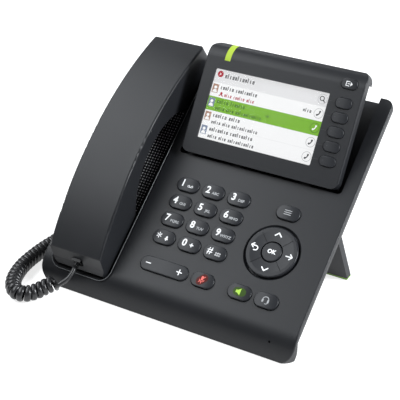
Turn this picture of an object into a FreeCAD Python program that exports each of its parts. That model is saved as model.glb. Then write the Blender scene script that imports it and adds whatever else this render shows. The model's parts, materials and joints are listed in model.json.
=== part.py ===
import FreeCAD
import Part
import math
import os

from FreeCAD import Vector

# A desk IP phone. Everything is drawn in millimetres in the panel frame: X to the right, Y up the
# slope of the key panel, Z out of it, with the origin on the panel amid the twelve dial keys.
# At the end the whole phone is tilted back, stood on the table and centred over it.

# Housing
TILT = 37.0                 # slope of the key panel
HOUSING_WIDTH = 216.0
HOUSING_REAR = 131.0
RIM_HEIGHT = 5.0            # visible edge band of the top cover
COVER_WALL = 2.5
CASE_WALL = 2.2
CASE_DEPTH = 30.0           # panel to underside
CASE_FLOOR_HALF = 92.0      # half width of the underside, the flanks taper in to it
CASE_REAR = 118.0           # rear edge of the underside
ROLL_START = -58.0          # where the panel starts to roll down to the front
ROLL_RADIUS = 25.0
FRONT_WALL = 4.5            # upright stretch under the roll
FRONT_CORNER = 12.0
REAR_CORNER = 7.0
EDGE_ROUND = 1.2
SEAM = 0.3                  # gap between nested shells
FOOT_PROUD = 0.8            # rubber feet stand this far out of the case
FRONT_TO_MIDDLE = -85.55    # front lip to the middle of the phone's depth
FRONT_FEET = (-66.0, 66.0)
FOOT_SIZE = (34.0, 12.0)    # along and across a front foot
FOOT_SETBACK = 8.0          # front lip to a front foot
FOOT_LET_IN = 1.0
SCREW_PLACES = [(x, y) for x in (-36.0, 86.0) for y in (-57.0, 36.0)]
BOSS_RADIUS = 3.6
BOSS_JOIN = -14.0           # where cover bosses meet case posts
SCREW_RADIUS = 1.4
SCREW_HEAD = (2.8, 1.6)     # radius and height
HIGH, DEEP = 20.0, -60.0    # well above the panel and well below the case, for cutting blocks
BOARD = (-32.0, 88.0, -54.0, 31.0)
BOARD_TOP = -11.5
BOARD_THICK = 1.6
CHIPS = [(-10.0, -20.0, 22.0, 2.6), (24.0, -18.0, 15.0, 1.8), (50.0, 2.0, 24.0, 3.2)]
MAT_WEB = 1.0
DOME = (3.2, 2.0)           # foot and tip radius of a switch dome

# Keys on the panel
KEYPAD_X = 3.2
KEY_PITCH_X = 21.7
KEY_PITCH_Y = 15.0
KEY_WIDTH = 18.6
KEY_HEIGHT = 11.4
KEY_PROUD = 2.2
KEY_BOTTOM = -7.0
KEY_GAP = 0.4
KEY_FLANGE = 1.2            # hidden skirt that keeps a key under the cover
KEY_CROWN = 42.0            # radius of the key's crowned top
KEY_EDGE = 0.7              # rounding of a key's rim
KEY_TRAVEL = 1.2
FUNCTION_ROW = -45.0
SPEAKER_X = 55.1
HEADSET_X = 76.4
NAV_X = 65.7
NAV_Y = -9.3
NAV_RADIUS = 19.6
NAV_GAP = 0.8
NAV_TOP = 1.4
NAV_EDGE = 1.0
NAV_DISH = 150.0            # radius of the dished face
NAV_DIP = 0.9               # depth of the dish under the rim
NAV_FLANGE = 1.7
NAV_BEVEL = 2.2             # bevel of the cover round the ring
LIGHT_GUIDE = (11.0, 16.0)  # inner and outer radius
MENU_Y = 22.5
OK_RADIUS = 7.5
OK_TOP = 1.2
OK_BOTTOM = -9.0
ROCK_CLEARANCE = 1.5        # room under the cover for keys that rock
MIC_HOLE = (88.7, -71.0)
MIC_HOLE_RADIUS = 0.8

# Handset and its cradle
HANDSET_X = -73.2
HANDSET_WIDTH = 46.0
CRADLE_HALF = 27.5
CRADLE_FRONT = -70.0
CRADLE_CORNER = 10.0
CRADLE_FLOOR = -7.5
TRAY_WALL = 2.5
TRAY_FLOOR = 2.0
TRAY_FIT = 0.2
HANDSET_WALL = 2.2
HANDSET_TOP = 33.5          # crest of the handset's back above the panel
HANDSET_PARTING = 27.0      # crest of the parting line
HANDSET_UNDERSIDE = 21.5    # crest of the finger arch
HANDSET_MIDDLE = 37.0       # where those crests are, up the slope
HANDSET_ENDS = (-66.2, 133.7)
HANDSET_CORNER = 4.0
HANDSET_EDGE = 1.5          # rounding of the back's long edges
HANDSET_FRONT_TOP = (-59.2, 16.5)
HANDSET_FRONT_SEAM = (-63.0, 5.0)
HANDSET_REAR_TOP = (133.5, 15.0)
HANDSET_REAR_SEAM = (133.0, 6.0)
HANDSET_REST = CRADLE_FLOOR + 0.3
HANDSET_SCREWS = (-26.0, 122.6)
HANDSET_SCREW_TOP = 13.0
HANDSET_POST = 3.4
CORD_EXIT = (-62.6, 6.5)    # middle of the cord's socket on the handset's front end
EARPIECE_Y = 108.5
EARPIECE = (10.0, 7.0)      # radius and depth
MICROPHONE_Y = -42.0
MICROPHONE = (5.0, 5.0)
HOOK_Y = 97.0
HOOK_SIZE = (12.0, 8.0)
HOOK_SKIRT = 2.0
HOOK_BOTTOM = -18.0
HOOK_RISE = 3.0
GRILLE = (-96.2, -50.2, -10.0, 86.0)
GRILLE_THICK = 0.8
LOUDSPEAKER_Y = 17.0

# Display
DISPLAY_TILT = 20.0         # lean of the display over the panel
DISPLAY_EDGE = (47.8, 4.4)  # lower front edge of the display in the panel frame, Y and Z
DISPLAY_LEFT = -35.9
DISPLAY_RIGHT = 94.3
DISPLAY_HEIGHT = 89.0
DISPLAY_ROLL = 13.0         # radius of the rolled top edge
BEZEL_DEPTH = 7.5
DISPLAY_DEPTH = 14.0
DISPLAY_WALL = 2.0
DISPLAY_CORNERS = (6.0, 8.0)  # lower and upper corners of the face
DISPLAY_EDGE_ROUND = 1.0
DISPLAY_BEVEL = 3.5
LCD_BORDER = 3.5
LCD_BACK = -5.0
WINDOW = (-1.8, -0.6)
WINDOW_FIT = 0.15
DISPLAY_BOARD = (18.0, 82.0, -7.4, -5.8)
SCREEN_SIZE = (95.0, 54.6)
SCREEN_MIDDLE = (21.9, 40.0)
SOFT_KEY_X = 81.8
SOFT_KEY_TOP = 62.2
SOFT_KEY_PITCH = 10.9
SOFT_KEY_SIZE = (13.0, 7.8)
SOFT_KEY_TRAVEL = 0.8
SOFT_KEY_PROUD = 1.3
SOFT_KEY_BOTTOM = -4.7
SOFT_KEY_FLANGE = (0.9, 0.5)  # width and height of the hidden skirt
FORWARD_KEY = (82.1, 76.8)
LIGHT_BAR_X = -17.8
LIGHT_BAR_WIDTH = 4.6
LIGHT_BAR_START = 74.3
DISPLAY_AXIS = (9.0, -9.5)  # hinge axis in the display's own frame, up and out
HINGE_LUGS = (0.0, 58.0)
LUG_WIDTH = 8.0
EAR_WIDTH = 6.0
PIN_RADIUS = 1.5
PIN_FIT = 0.06

# Recess that the display folds into
RECESS_LEFT = -38.5
RECESS_RIGHT = 97.0
RECESS_FRONT = 47.3
RECESS_DEPTH = 10.0
RECESS_FLOOR = 2.0

# Stand
STAND_AXIS = (26.0, -33.6)  # hinge axis in the panel frame, Y and Z
STAND_LEAN = 27.5           # lean of the leg from upright
STAND_HALF = 98.0
STAND_THICK = 6.0
STAND_LUGS = (-60.0, 0.0, 60.0)
STAND_STRIP = 2.0           # height of the rubber strip under the leg's foot
LUG_RADIUS = 4.0
LUG_ROOM = 1.5              # between a lug and the leg's pocket round it

# Sockets
JACK_PANEL = -100.0         # outer face of the socket panel in the left flank
HANDSET_JACK_Y = 52.0
HEADSET_JACK_Y = 68.0
JACK_Z = -20.2
SMALL_PLUG = (7.6, 6.4)     # four-way modular plug
BAY_HALF = 24.0
BAY_FRONT = 88.0
BAY_CEILING = -14.4
NETWORK_JACKS = {"lan_jack": -10.0, "pc_jack": 10.0}
NETWORK_BODY = (8.0, 16.0, -27.6, -14.8)   # half width, depth, bottom and top
NETWORK_MOUTH = (5.9, 12.5, -25.6, -17.0)
NETWORK_LATCH = (3.1, 12.5, -26.8, -25.0)
SMALL_JACK = (6.0, 15.0, -6.0, 5.6)        # half width, depth, bottom and top from its middle
JACK_FIT = 0.15

# Curly cord. Its points are in the table frame: X to the right, Y behind the front lip, Z above
# the table. The lead leaves the handset, the coil lies on the table and climbs behind the phone,
# and the tail goes into the socket in the left flank.
WIRE = 3.5
COIL_RADIUS = 4.9           # middle of the wire to the middle of the coil
COIL_GAP = 0.62             # between turns, on the inside of a bend
SLEEVE = 4.0                # strain relief behind each modular plug
COIL_START = 30.0           # where the first turn starts, in degrees down from the coil's front
LEAD_REACH = 7.0            # length that the wire takes to bend away from a turn or a plug
LEAD_STEP = 5.0             # between the arcs' ends along a lead
ROUTE_STEPS = 120           # points worked out along each stretch of a route
GAP_STRIDE = 3
COIL_ROUTE = [
    (-85.6, -11.6, 12.9),
    (-91.2, -16.6, 9.8),
    (-96.0, -23.0, 7.4),
    (-102.0, -29.5, 7.0),
    (-111.0, -29.0, 7.0),
    (-119.5, -20.0, 7.0),
    (-124.5, -8.0, 7.0),
    (-127.2, 4.0, 7.0),
    (-127.8, 18.0, 7.0),
    (-127.5, 33.0, 7.0),
    (-125.0, 50.0, 7.0),
    (-121.5, 66.0, 7.6),
    (-120.5, 80.0, 14.0),
    (-120.5, 91.0, 27.0),
    (-121.0, 98.5, 40.0),
    (-121.5, 103.0, 50.0),
]
TAIL_ROUTE = [
    (-120.5, 108.5, 65.0),
]

SIN_TILT = math.sin(math.radians(TILT))
COS_TILT = math.cos(math.radians(TILT))
HALF_WIDTH = HOUSING_WIDTH / 2
UPRIGHT = Vector(0, 0, 1)
ACROSS = Vector(1, 0, 0)
DOWN_SLOPE = Vector(0, -1, 0)
# Foot of the front wall: the panel frame's point that stands just over the table's front edge
ROLL_END = (ROLL_START - ROLL_RADIUS * COS_TILT, -ROLL_RADIUS * (1 - SIN_TILT))
LIP = (ROLL_END[0] - FRONT_WALL * SIN_TILT, ROLL_END[1] - FRONT_WALL * COS_TILT)


def level_to_panel(back, up):
    """Panel-frame Y, Z of a point given behind and above the lip's foot, level with the table."""
    return (LIP[0] + back * COS_TILT + up * SIN_TILT, LIP[1] - back * SIN_TILT + up * COS_TILT)


def box(x0, x1, y0, y1, z0, z1):
    """Block between two corners."""
    return Part.makeBox(x1 - x0, y1 - y0, z1 - z0, Vector(x0, y0, z0))


def drum(x, y, z0, z1, radius):
    """Upright cylinder."""
    return Part.makeCylinder(radius, z1 - z0, Vector(x, y, z0), UPRIGHT)


def rod(x0, x1, y, z, radius):
    """Cylinder along X."""
    return Part.makeCylinder(radius, x1 - x0, Vector(x0, y, z), ACROSS)


def fuse(first, *others):
    """Union without the seams between coplanar faces."""
    return first.fuse(list(others)).removeSplitter()


def is_upright(edge):
    """True for a straight edge along Z."""
    ends = [vertex.Point for vertex in edge.Vertexes]
    return len(ends) == 2 and math.hypot(ends[0].x - ends[1].x, ends[0].y - ends[1].y) < 1e-6


def rounded_block(x0, x1, y0, y1, z0, z1, front, rear):
    """Block with its upright edges rounded, one radius for the front and one for the rear."""
    block = box(x0, x1, y0, y1, z0, z1)
    for y, radius in ((y0, front), (y1, rear)):
        if radius > 0:
            edges = [e for e in block.Edges if is_upright(e) and abs(e.CenterOfMass.y - y) < 1e-6]
            block = block.makeFillet(radius, edges)
    return block


def side_prism(x0, x1, start, steps):
    """Side outline swept across X. A step is a point (y, z), or (through, end) for an arc."""
    edges = []
    here = Vector(x0, *start)
    for step in list(steps) + [start]:
        if isinstance(step[0], tuple):
            through, end = Vector(x0, *step[0]), Vector(x0, *step[1])
            edges.append(Part.Arc(here, through, end).toShape())
        else:
            end = Vector(x0, *step)
            if not end.isEqual(here, 1e-6):
                edges.append(Part.LineSegment(here, end).toShape())
        here = end
    return Part.Face(Part.Wire(edges)).extrude(Vector(x1 - x0, 0, 0))


def obround(x, y, width, height, z0, z1):
    """Upright prism with straight long sides and round ends."""
    radius = height / 2
    half = width / 2 - radius
    left_low, right_low = Vector(x - half, y - radius, z0), Vector(x + half, y - radius, z0)
    left_high, right_high = Vector(x - half, y + radius, z0), Vector(x + half, y + radius, z0)
    edges = [
        Part.LineSegment(left_low, right_low).toShape(),
        Part.Arc(right_low, Vector(x + width / 2, y, z0), right_high).toShape(),
        Part.LineSegment(right_high, left_high).toShape(),
        Part.Arc(left_high, Vector(x - width / 2, y, z0), left_low).toShape(),
    ]
    return Part.Face(Part.Wire(edges)).extrude(Vector(0, 0, z1 - z0))


def level_block(x0, x1, origin, back0, back1, up0, up1):
    """Block level with the table, placed from a point (y, z) of the panel frame."""
    block = box(x0, x1, back0, back1, up0, up1)
    block.rotate(Vector(0, 0, 0), ACROSS, -TILT)
    block.translate(Vector(0, *origin))
    return block


def cover_outline(inset, bottom):
    """Side outline of the panel, its roll and the front wall, drawn in by inset."""
    radius = ROLL_RADIUS - inset
    half_turn = math.radians(90 - TILT) / 2
    middle = (
        ROLL_START - radius * math.sin(half_turn),
        radius * math.cos(half_turn) - ROLL_RADIUS,
    )
    end = (ROLL_START - radius * COS_TILT, radius * SIN_TILT - ROLL_RADIUS)
    start = (HOUSING_REAR - inset, -inset)
    return start, [(ROLL_START, -inset), (middle, end)] + bottom(end)


def panel_holes():
    """Openings of the cover for the keys, as width, height and centre."""
    holes = [(x, y, KEY_WIDTH, KEY_HEIGHT) for _, x, y in dial_places()]
    holes.append((NAV_X, MENU_Y, KEY_WIDTH, KEY_HEIGHT))
    holes.append((KEYPAD_X - KEY_PITCH_X / 2, FUNCTION_ROW, KEY_PITCH_X + KEY_WIDTH, KEY_HEIGHT))
    for x in (KEYPAD_X + KEY_PITCH_X, SPEAKER_X, HEADSET_X):
        holes.append((x, FUNCTION_ROW, KEY_WIDTH, KEY_HEIGHT))
    return holes


def dial_places():
    """Name and centre of each dial key, from the top row down."""
    names = ["1", "2", "3", "4", "5", "6", "7", "8", "9", "star", "0", "hash"]
    places = []
    for index, name in enumerate(names):
        row, column = divmod(index, 3)
        x = KEYPAD_X + (column - 1) * KEY_PITCH_X
        y = (1.5 - row) * KEY_PITCH_Y
        places.append(("dial_key_" + name, x, y))
    return places


def top_cover():
    """Upper shell: key panel, roll, rim, right arm, recess for the display and hinge lugs."""
    def solid_bottom(end):
        foot = (end[0] - FRONT_WALL * SIN_TILT, end[1] - FRONT_WALL * COS_TILT)
        heel = (foot[0] + 8 * COS_TILT, foot[1] - 8 * SIN_TILT)
        return [foot, heel, (ROLL_START - 6, -RIM_HEIGHT), (HOUSING_REAR, -RIM_HEIGHT)]

    def open_bottom(end):
        below = (end[0] - 14 * SIN_TILT, end[1] - 14 * COS_TILT)
        return [below, (below[0], DEEP), (HOUSING_REAR - COVER_WALL, DEEP)]

    outer = side_prism(-HALF_WIDTH, HALF_WIDTH, *cover_outline(0, solid_bottom))
    outer = outer.common(rounded_block(-HALF_WIDTH, HALF_WIDTH, LIP[0] - SEAM, HOUSING_REAR,
                                       DEEP, 10, FRONT_CORNER, REAR_CORNER))
    outer = round_top_edges(outer)
    inner = side_prism(-HALF_WIDTH, HALF_WIDTH, *cover_outline(COVER_WALL, open_bottom))
    inner_half = HALF_WIDTH - COVER_WALL
    inner = inner.common(rounded_block(-inner_half, inner_half, LIP[0] + COVER_WALL - 2 * SEAM,
                                       HOUSING_REAR - COVER_WALL, DEEP, 10,
                                       FRONT_CORNER - COVER_WALL, REAR_CORNER - COVER_WALL))
    cover = outer.cut(inner)
    tub = box(RECESS_LEFT - COVER_WALL, RECESS_RIGHT + COVER_WALL, RECESS_FRONT - COVER_WALL,
              HOUSING_REAR, -RECESS_DEPTH - RECESS_FLOOR, -COVER_WALL / 2)
    bosses = [drum(x, y, BOSS_JOIN, -COVER_WALL / 2, BOSS_RADIUS) for x, y in SCREW_PLACES]
    cover = cover.fuse([tub] + bosses)
    recess = rounded_block(RECESS_LEFT, RECESS_RIGHT, RECESS_FRONT, HOUSING_REAR + 20,
                           -RECESS_DEPTH, 20, 3.0, 0)
    cradle = rounded_block(HANDSET_X - CRADLE_HALF, HANDSET_X + CRADLE_HALF, CRADLE_FRONT,
                           HOUSING_REAR + 20, DEEP, HIGH, CRADLE_CORNER, 0)
    cuts = [recess, cradle]
    for x, y, width, height in panel_holes():
        cuts.append(obround(x, y, width + 2 * KEY_GAP, height + 2 * KEY_GAP, -6, 6))
    nav_hole = NAV_RADIUS + NAV_GAP
    cuts.append(drum(NAV_X, NAV_Y, -6, 6, nav_hole))
    cuts.append(Part.makeCone(nav_hole, nav_hole + NAV_BEVEL, NAV_BEVEL,
                              Vector(NAV_X, NAV_Y, 1 - NAV_BEVEL), UPRIGHT))
    cuts += [drum(x, y, DEEP, -4, SCREW_RADIUS + PIN_FIT) for x, y in SCREW_PLACES]
    cuts.append(drum(*MIC_HOLE, -20, 6, MIC_HOLE_RADIUS))
    cover = cover.cut(cuts)
    return fuse(cover, *cover_lugs())


def round_top_edges(shell):
    """Round the edge between the panel or its roll and the sides."""
    edges = []
    for edge in shell.Edges:
        middle = edge.CenterOfMass
        on_side = abs(abs(middle.x) - HALF_WIDTH) < 1e-4 and middle.z > ROLL_END[1] + 0.1
        if on_side and abs(middle.z + RIM_HEIGHT) > 0.1 and not is_upright(edge):
            edges.append(edge)
    return shell.makeFillet(EDGE_ROUND, edges)


def display_axis():
    """Hinge axis of the display in the panel frame, Y and Z."""
    sine, cosine = math.sin(math.radians(DISPLAY_TILT)), math.cos(math.radians(DISPLAY_TILT))
    up, out = DISPLAY_AXIS
    return (DISPLAY_EDGE[0] + up * cosine - out * sine, DISPLAY_EDGE[1] + up * sine + out * cosine)


def cover_lugs():
    """Two lugs on the recess floor that carry the display's hinge pins."""
    y, z = display_axis()
    lugs = []
    for x in HINGE_LUGS:
        post = box(x, x + LUG_WIDTH, y - 3, y + 3, -RECESS_DEPTH - 0.5, z)
        lug = post.fuse(rod(x, x + LUG_WIDTH, y, z, 3.0))
        lugs.append(lug.cut(rod(x - 1, x + LUG_WIDTH + 1, y, z, PIN_RADIUS + PIN_FIT)))
    return lugs


def case_block(inset, top):
    """Lower shell as a full block, drawn in by inset, with tapering flanks."""
    front = ROLL_RADIUS - COVER_WALL
    wall_top = (
        ROLL_START - front * COS_TILT + (SEAM + inset) * COS_TILT,
        front * SIN_TILT - ROLL_RADIUS - (SEAM + inset) * SIN_TILT,
    )
    low = FRONT_WALL - inset
    wall_foot = (wall_top[0] - low * SIN_TILT, wall_top[1] - low * COS_TILT)
    floor = inset - CASE_DEPTH
    run = (wall_foot[1] - floor) / SIN_TILT
    rear_top = HOUSING_REAR - COVER_WALL - SEAM - inset
    steps = [
        wall_foot,
        (wall_foot[0] + run * COS_TILT, floor),
        (CASE_REAR - inset, floor),
        (rear_top, -RIM_HEIGHT),
        (rear_top, top),
        (ROLL_START - 4 + inset, top),
    ]
    half = HALF_WIDTH - COVER_WALL - SEAM - inset
    block = side_prism(-half, half, wall_top, steps)
    outline = rounded_block(-half, half, LIP[0] + inset, rear_top, DEEP, HIGH,
                            FRONT_CORNER - COVER_WALL, max(REAR_CORNER - COVER_WALL - inset, 1.0))
    block = block.common(outline)
    for side in (-1, 1):
        top_corner = Vector(side * half, LIP[0] - 10, -RIM_HEIGHT)
        low_corner = Vector(side * (CASE_FLOOR_HALF - inset), LIP[0] - 10, floor)
        beyond_low = low_corner + (low_corner - top_corner)
        beyond = Vector(beyond_low.x + side * 80, beyond_low.y, beyond_low.z)
        corner = Vector(side * (half + 80), LIP[0] - 10, -RIM_HEIGHT)
        wedge = Part.Face(Part.makePolygon([top_corner, beyond_low, beyond, corner, top_corner]))
        block = block.cut(wedge.extrude(Vector(0, 260, 0)))
    return block


def bottom_case():
    """Lower shell: open tray with screw posts, network bay, socket panel and stand lugs."""
    case = case_block(0, -RIM_HEIGHT).cut(case_block(CASE_WALL, 5.0))
    floor = CASE_WALL / 2 - CASE_DEPTH
    posts = [drum(x, y, floor, BOSS_JOIN - 0.2, BOSS_RADIUS) for x, y in SCREW_PLACES]
    bay = box(-BAY_HALF, BAY_HALF, BAY_FRONT - 2, CASE_REAR + 4, floor, BAY_CEILING + 1.5)
    panel = box(JACK_PANEL, JACK_PANEL + 15, HANDSET_JACK_Y - 9, HEADSET_JACK_Y + 9, floor,
                BAY_CEILING + 1.5)
    y, z = STAND_AXIS
    lugs = []
    for x in STAND_LUGS:
        lugs.append(box(x - LUG_WIDTH / 2, x + LUG_WIDTH / 2, y - LUG_RADIUS, y + LUG_RADIUS, z, floor))
        lugs.append(rod(x - LUG_WIDTH / 2, x + LUG_WIDTH / 2, y, z, LUG_RADIUS))
    case = case.fuse(posts + [bay, panel] + lugs)
    bay_hollow = box(2 - BAY_HALF, BAY_HALF - 2, BAY_FRONT, CASE_REAR + 30, DEEP, BAY_CEILING)
    cuts = [bay_hollow]
    cuts += [jack_window(x) for x in NETWORK_JACKS.values()]
    cuts += [side_jack_shell(y, JACK_FIT) for y in (HANDSET_JACK_Y, HEADSET_JACK_Y)]
    cuts += [rod(x - 9, x + 9, *STAND_AXIS, PIN_RADIUS + PIN_FIT) for x in STAND_LUGS]
    cuts += [drum(x, y, DEEP, 0, SCREW_RADIUS + SEAM) for x, y in SCREW_PLACES]
    cuts += [drum(x, y, DEEP, SCREW_HEAD[1] - CASE_DEPTH, SCREW_HEAD[0] + SEAM) for x, y in SCREW_PLACES]
    cuts.append(box(RECESS_LEFT - COVER_WALL - 0.5, RECESS_RIGHT + COVER_WALL + 0.5,
                    RECESS_FRONT - COVER_WALL - 0.5, HOUSING_REAR + 9,
                    -RECESS_DEPTH - RECESS_FLOOR - 0.4, 9))
    cuts.append(box(HANDSET_X - CRADLE_HALF - 0.5, HANDSET_X + CRADLE_HALF + 0.5,
                    CRADLE_FRONT - 0.5, HOUSING_REAR + 9, CRADLE_FLOOR - 2.5, 9))
    cuts += [foot_pad(x, JACK_FIT) for x in FRONT_FEET]
    return case.cut(cuts)


def bay_block(x, size, gap, past):
    """Block in front of the bay's front wall, widened by a gap and reaching past the wall."""
    half, depth, bottom, top = size
    return box(x - half - gap, x + half + gap, BAY_FRONT - depth - gap, BAY_FRONT + past,
               bottom - gap, top + gap)


def jack_window(x):
    """Cut-out in the bay's front wall for one network socket."""
    return bay_block(x, NETWORK_BODY, JACK_FIT, 1)


def network_jack(x):
    """Eight-way network socket that opens to the rear."""
    body = bay_block(x, NETWORK_BODY, 0, 0)
    return body.cut([bay_block(x, NETWORK_MOUTH, 0, 1), bay_block(x, NETWORK_LATCH, 0, 1)])


def side_jack_shell(y, gap):
    """Outer block of a four-way socket in the left flank."""
    half, depth, bottom, top = SMALL_JACK
    return box(JACK_PANEL - gap, JACK_PANEL + depth + gap, y - half - gap, y + half + gap,
               JACK_Z + bottom - gap, JACK_Z + top + gap)


def side_jack(y):
    """Four-way modular socket that opens to the left."""
    width, height = SMALL_PLUG
    hollow = box(JACK_PANEL - 1, JACK_PANEL + 12.5, y - width / 2 - 0.2, y + width / 2 + 0.2,
                 JACK_Z - height / 2 - 0.2, JACK_Z + height / 2 + 0.2)
    return side_jack_shell(y, 0).cut(hollow)


def foot_pad(x, gap):
    """Rubber foot let into the level strip under the front edge."""
    half = FOOT_SIZE[0] / 2 + gap
    return level_block(x - half, x + half, LIP, FOOT_SETBACK - gap, FOOT_SETBACK + FOOT_SIZE[1] + gap,
                       -FOOT_PROUD, FOOT_LET_IN + gap)


def cradle_tray():
    """Insert that lines the handset's cradle, with sound slots and the hook's opening."""
    half = CRADLE_HALF - TRAY_FIT
    left, right, front = HANDSET_X - half, HANDSET_X + half, CRADLE_FRONT + TRAY_FIT
    block = rounded_block(left, right, front, HOUSING_REAR, CRADLE_FLOOR - TRAY_FLOOR, 5,
                          CRADLE_CORNER - TRAY_FIT, 0)
    start, steps = cover_outline(TRAY_FIT, lambda end: [(end[0], -40.0), (HOUSING_REAR, -40.0)])
    block = block.common(side_prism(left, right, start, steps))
    wall, corner = TRAY_WALL, CRADLE_CORNER - TRAY_WALL - TRAY_FIT
    hollow = rounded_block(left + wall, right - wall, front + wall, HOUSING_REAR + 9,
                           CRADLE_FLOOR, HIGH, corner, 0)
    slope = Part.makeLoft([
        rounded_block(left + wall, right - wall, front + wall, HOUSING_REAR + 9, -3.2, 0,
                      corner, 0).Faces[4].OuterWire,
        rounded_block(left + 0.6, right - 0.6, front + 0.6, HOUSING_REAR + 9, 0.4, 1,
                      CRADLE_CORNER - 0.8, 0).Faces[4].OuterWire,
    ], True, True)
    slots = [obround(HANDSET_X, y, 30, 1.6, -20, 0) for y in range(0, 80, 8)]
    hook = obround(HANDSET_X, HOOK_Y, *[size + 0.8 for size in HOOK_SIZE], -20, 0)
    return block.cut([hollow, slope] + slots + [hook])


def speaker_grille():
    """Perforated plate on the cradle floor over the loudspeaker."""
    return rounded_block(*GRILLE, CRADLE_FLOOR, CRADLE_FLOOR + GRILLE_THICK, 3, 3)


def loudspeaker():
    """Hands-free loudspeaker under the cradle: basket, surround and magnet."""
    top = CRADLE_FLOOR - 2.4
    basket = Part.makeCone(13, 22, 8, Vector(HANDSET_X, LOUDSPEAKER_Y, top - 8), UPRIGHT)
    cone = Part.makeCone(4, 19, 5, Vector(HANDSET_X, LOUDSPEAKER_Y, top - 5), UPRIGHT)
    magnet = drum(HANDSET_X, LOUDSPEAKER_Y, top - 15, top - 7.5, 12)
    return basket.cut(cone).fuse(magnet)


def hook_button():
    """Plunger of the hook switch, held down by the handset."""
    length, width = HOOK_SIZE
    stem = obround(HANDSET_X, HOOK_Y, length, width, HOOK_BOTTOM, CRADLE_FLOOR - 0.05)
    skirt = obround(HANDSET_X, HOOK_Y, length + 2 * HOOK_SKIRT, width + 2 * HOOK_SKIRT, HOOK_BOTTOM,
                    CRADLE_FLOOR - TRAY_FLOOR - SEAM - HOOK_RISE)
    return stem.fuse(skirt)


def main_board():
    """Circuit board under the keys, clear of the screw posts, with its processor and shields."""
    low = BOARD_TOP - BOARD_THICK
    board = box(*BOARD, low, BOARD_TOP)
    board = board.cut([drum(x, y, DEEP, 0, BOSS_RADIUS + 2 * SEAM) for x, y in SCREW_PLACES])
    chips = [box(x, x + size, y, y + size, low - tall, low) for x, y, size, tall in CHIPS]
    return fuse(board, *chips)


def keypad_mat():
    """Silicone switch mat with one dome under each key."""
    web = BOARD_TOP + MAT_WEB
    left, right, front, rear = BOARD
    mat = box(left + 1, right, front + 0.5, rear - 0.5, BOARD_TOP, web)
    mat = mat.cut([drum(x, y, DEEP, 0, BOSS_RADIUS + 2 * SEAM) for x, y in SCREW_PLACES])
    tip = KEY_BOTTOM - KEY_TRAVEL - SEAM
    domes = []
    for x, y, width, _ in panel_holes():
        reach = (0,) if width < 2 * KEY_PITCH_X - 8 else (-KEY_PITCH_X / 2, KEY_PITCH_X / 2)
        domes += [Part.makeCone(*DOME, tip - web, Vector(x + dx, y, web), UPRIGHT) for dx in reach]
    return fuse(mat, *domes)


def cap(x, y, width, height, proud, bottom, skirt_top, skirt):
    """Key with a crowned top, softened edge and a hidden skirt."""
    top = Vector(x, y - height, proud - KEY_CROWN)
    crown = Part.makeCylinder(KEY_CROWN, 2 * height, top, Vector(0, 1, 0))
    body = obround(x, y, width, height, bottom, proud + 1).common(crown)
    rim = [e for e in body.Edges if e.BoundBox.ZMin > bottom + 1 and not is_upright(e)]
    body = body.makeFillet(KEY_EDGE, rim)
    flange = obround(x, y, width + 2 * skirt, height + 2 * skirt, bottom, skirt_top)
    return fuse(body, flange)


def panel_key(x, y):
    """Key of the panel that is pressed straight in."""
    return cap(x, y, KEY_WIDTH, KEY_HEIGHT, KEY_PROUD, KEY_BOTTOM, -COVER_WALL - 0.3, KEY_FLANGE)


def volume_rocker():
    """Long key that rocks about its middle."""
    width = KEY_PITCH_X + KEY_WIDTH
    x = KEYPAD_X - KEY_PITCH_X / 2
    top = Vector(x, FUNCTION_ROW - KEY_HEIGHT, KEY_PROUD - 4 * KEY_CROWN)
    crown = Part.makeCylinder(4 * KEY_CROWN, 2 * KEY_HEIGHT, top, Vector(0, 1, 0))
    body = obround(x, FUNCTION_ROW, width, KEY_HEIGHT, KEY_BOTTOM, KEY_PROUD + 1).common(crown)
    rim = [e for e in body.Edges if e.BoundBox.ZMin > KEY_BOTTOM + 1 and not is_upright(e)]
    body = body.makeFillet(KEY_EDGE, rim)
    flange = obround(x, FUNCTION_ROW, width + 2 * KEY_FLANGE, KEY_HEIGHT + 2 * KEY_FLANGE,
                     KEY_BOTTOM, -COVER_WALL - ROCK_CLEARANCE)
    return fuse(body, flange)


def nav_ring():
    """Four-way ring round the OK key, dished towards the middle."""
    ring = drum(NAV_X, NAV_Y, KEY_BOTTOM, NAV_TOP, NAV_RADIUS)
    rim = [e for e in ring.Edges if e.BoundBox.ZMin > NAV_TOP - 0.1]
    ring = ring.makeFillet(NAV_EDGE, rim)
    dish = Part.makeSphere(NAV_DISH, Vector(NAV_X, NAV_Y, NAV_TOP - NAV_DIP + NAV_DISH))
    flange = drum(NAV_X, NAV_Y, KEY_BOTTOM, -COVER_WALL - ROCK_CLEARANCE, NAV_RADIUS + NAV_FLANGE)
    bore = drum(NAV_X, NAV_Y, DEEP, HIGH, OK_RADIUS + NAV_GAP)
    return ring.cut(dish).fuse(flange).removeSplitter().cut(bore)


def nav_light_guide():
    """Clear ring under the four-way key that lights its arrows and carries its rocking."""
    inner, outer = LIGHT_GUIDE
    ring = drum(NAV_X, NAV_Y, KEY_BOTTOM - 2.2, KEY_BOTTOM - 1.0, outer)
    return ring.cut(drum(NAV_X, NAV_Y, DEEP, 0, inner))


def ok_key():
    """Round key in the middle of the four-way ring."""
    key = drum(NAV_X, NAV_Y, OK_BOTTOM, OK_TOP, OK_RADIUS)
    key = key.makeFillet(0.8, [e for e in key.Edges if e.BoundBox.ZMin > OK_TOP - 0.1])
    return fuse(key, drum(NAV_X, NAV_Y, OK_BOTTOM, OK_BOTTOM + 1, OK_RADIUS + 2))


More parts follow.
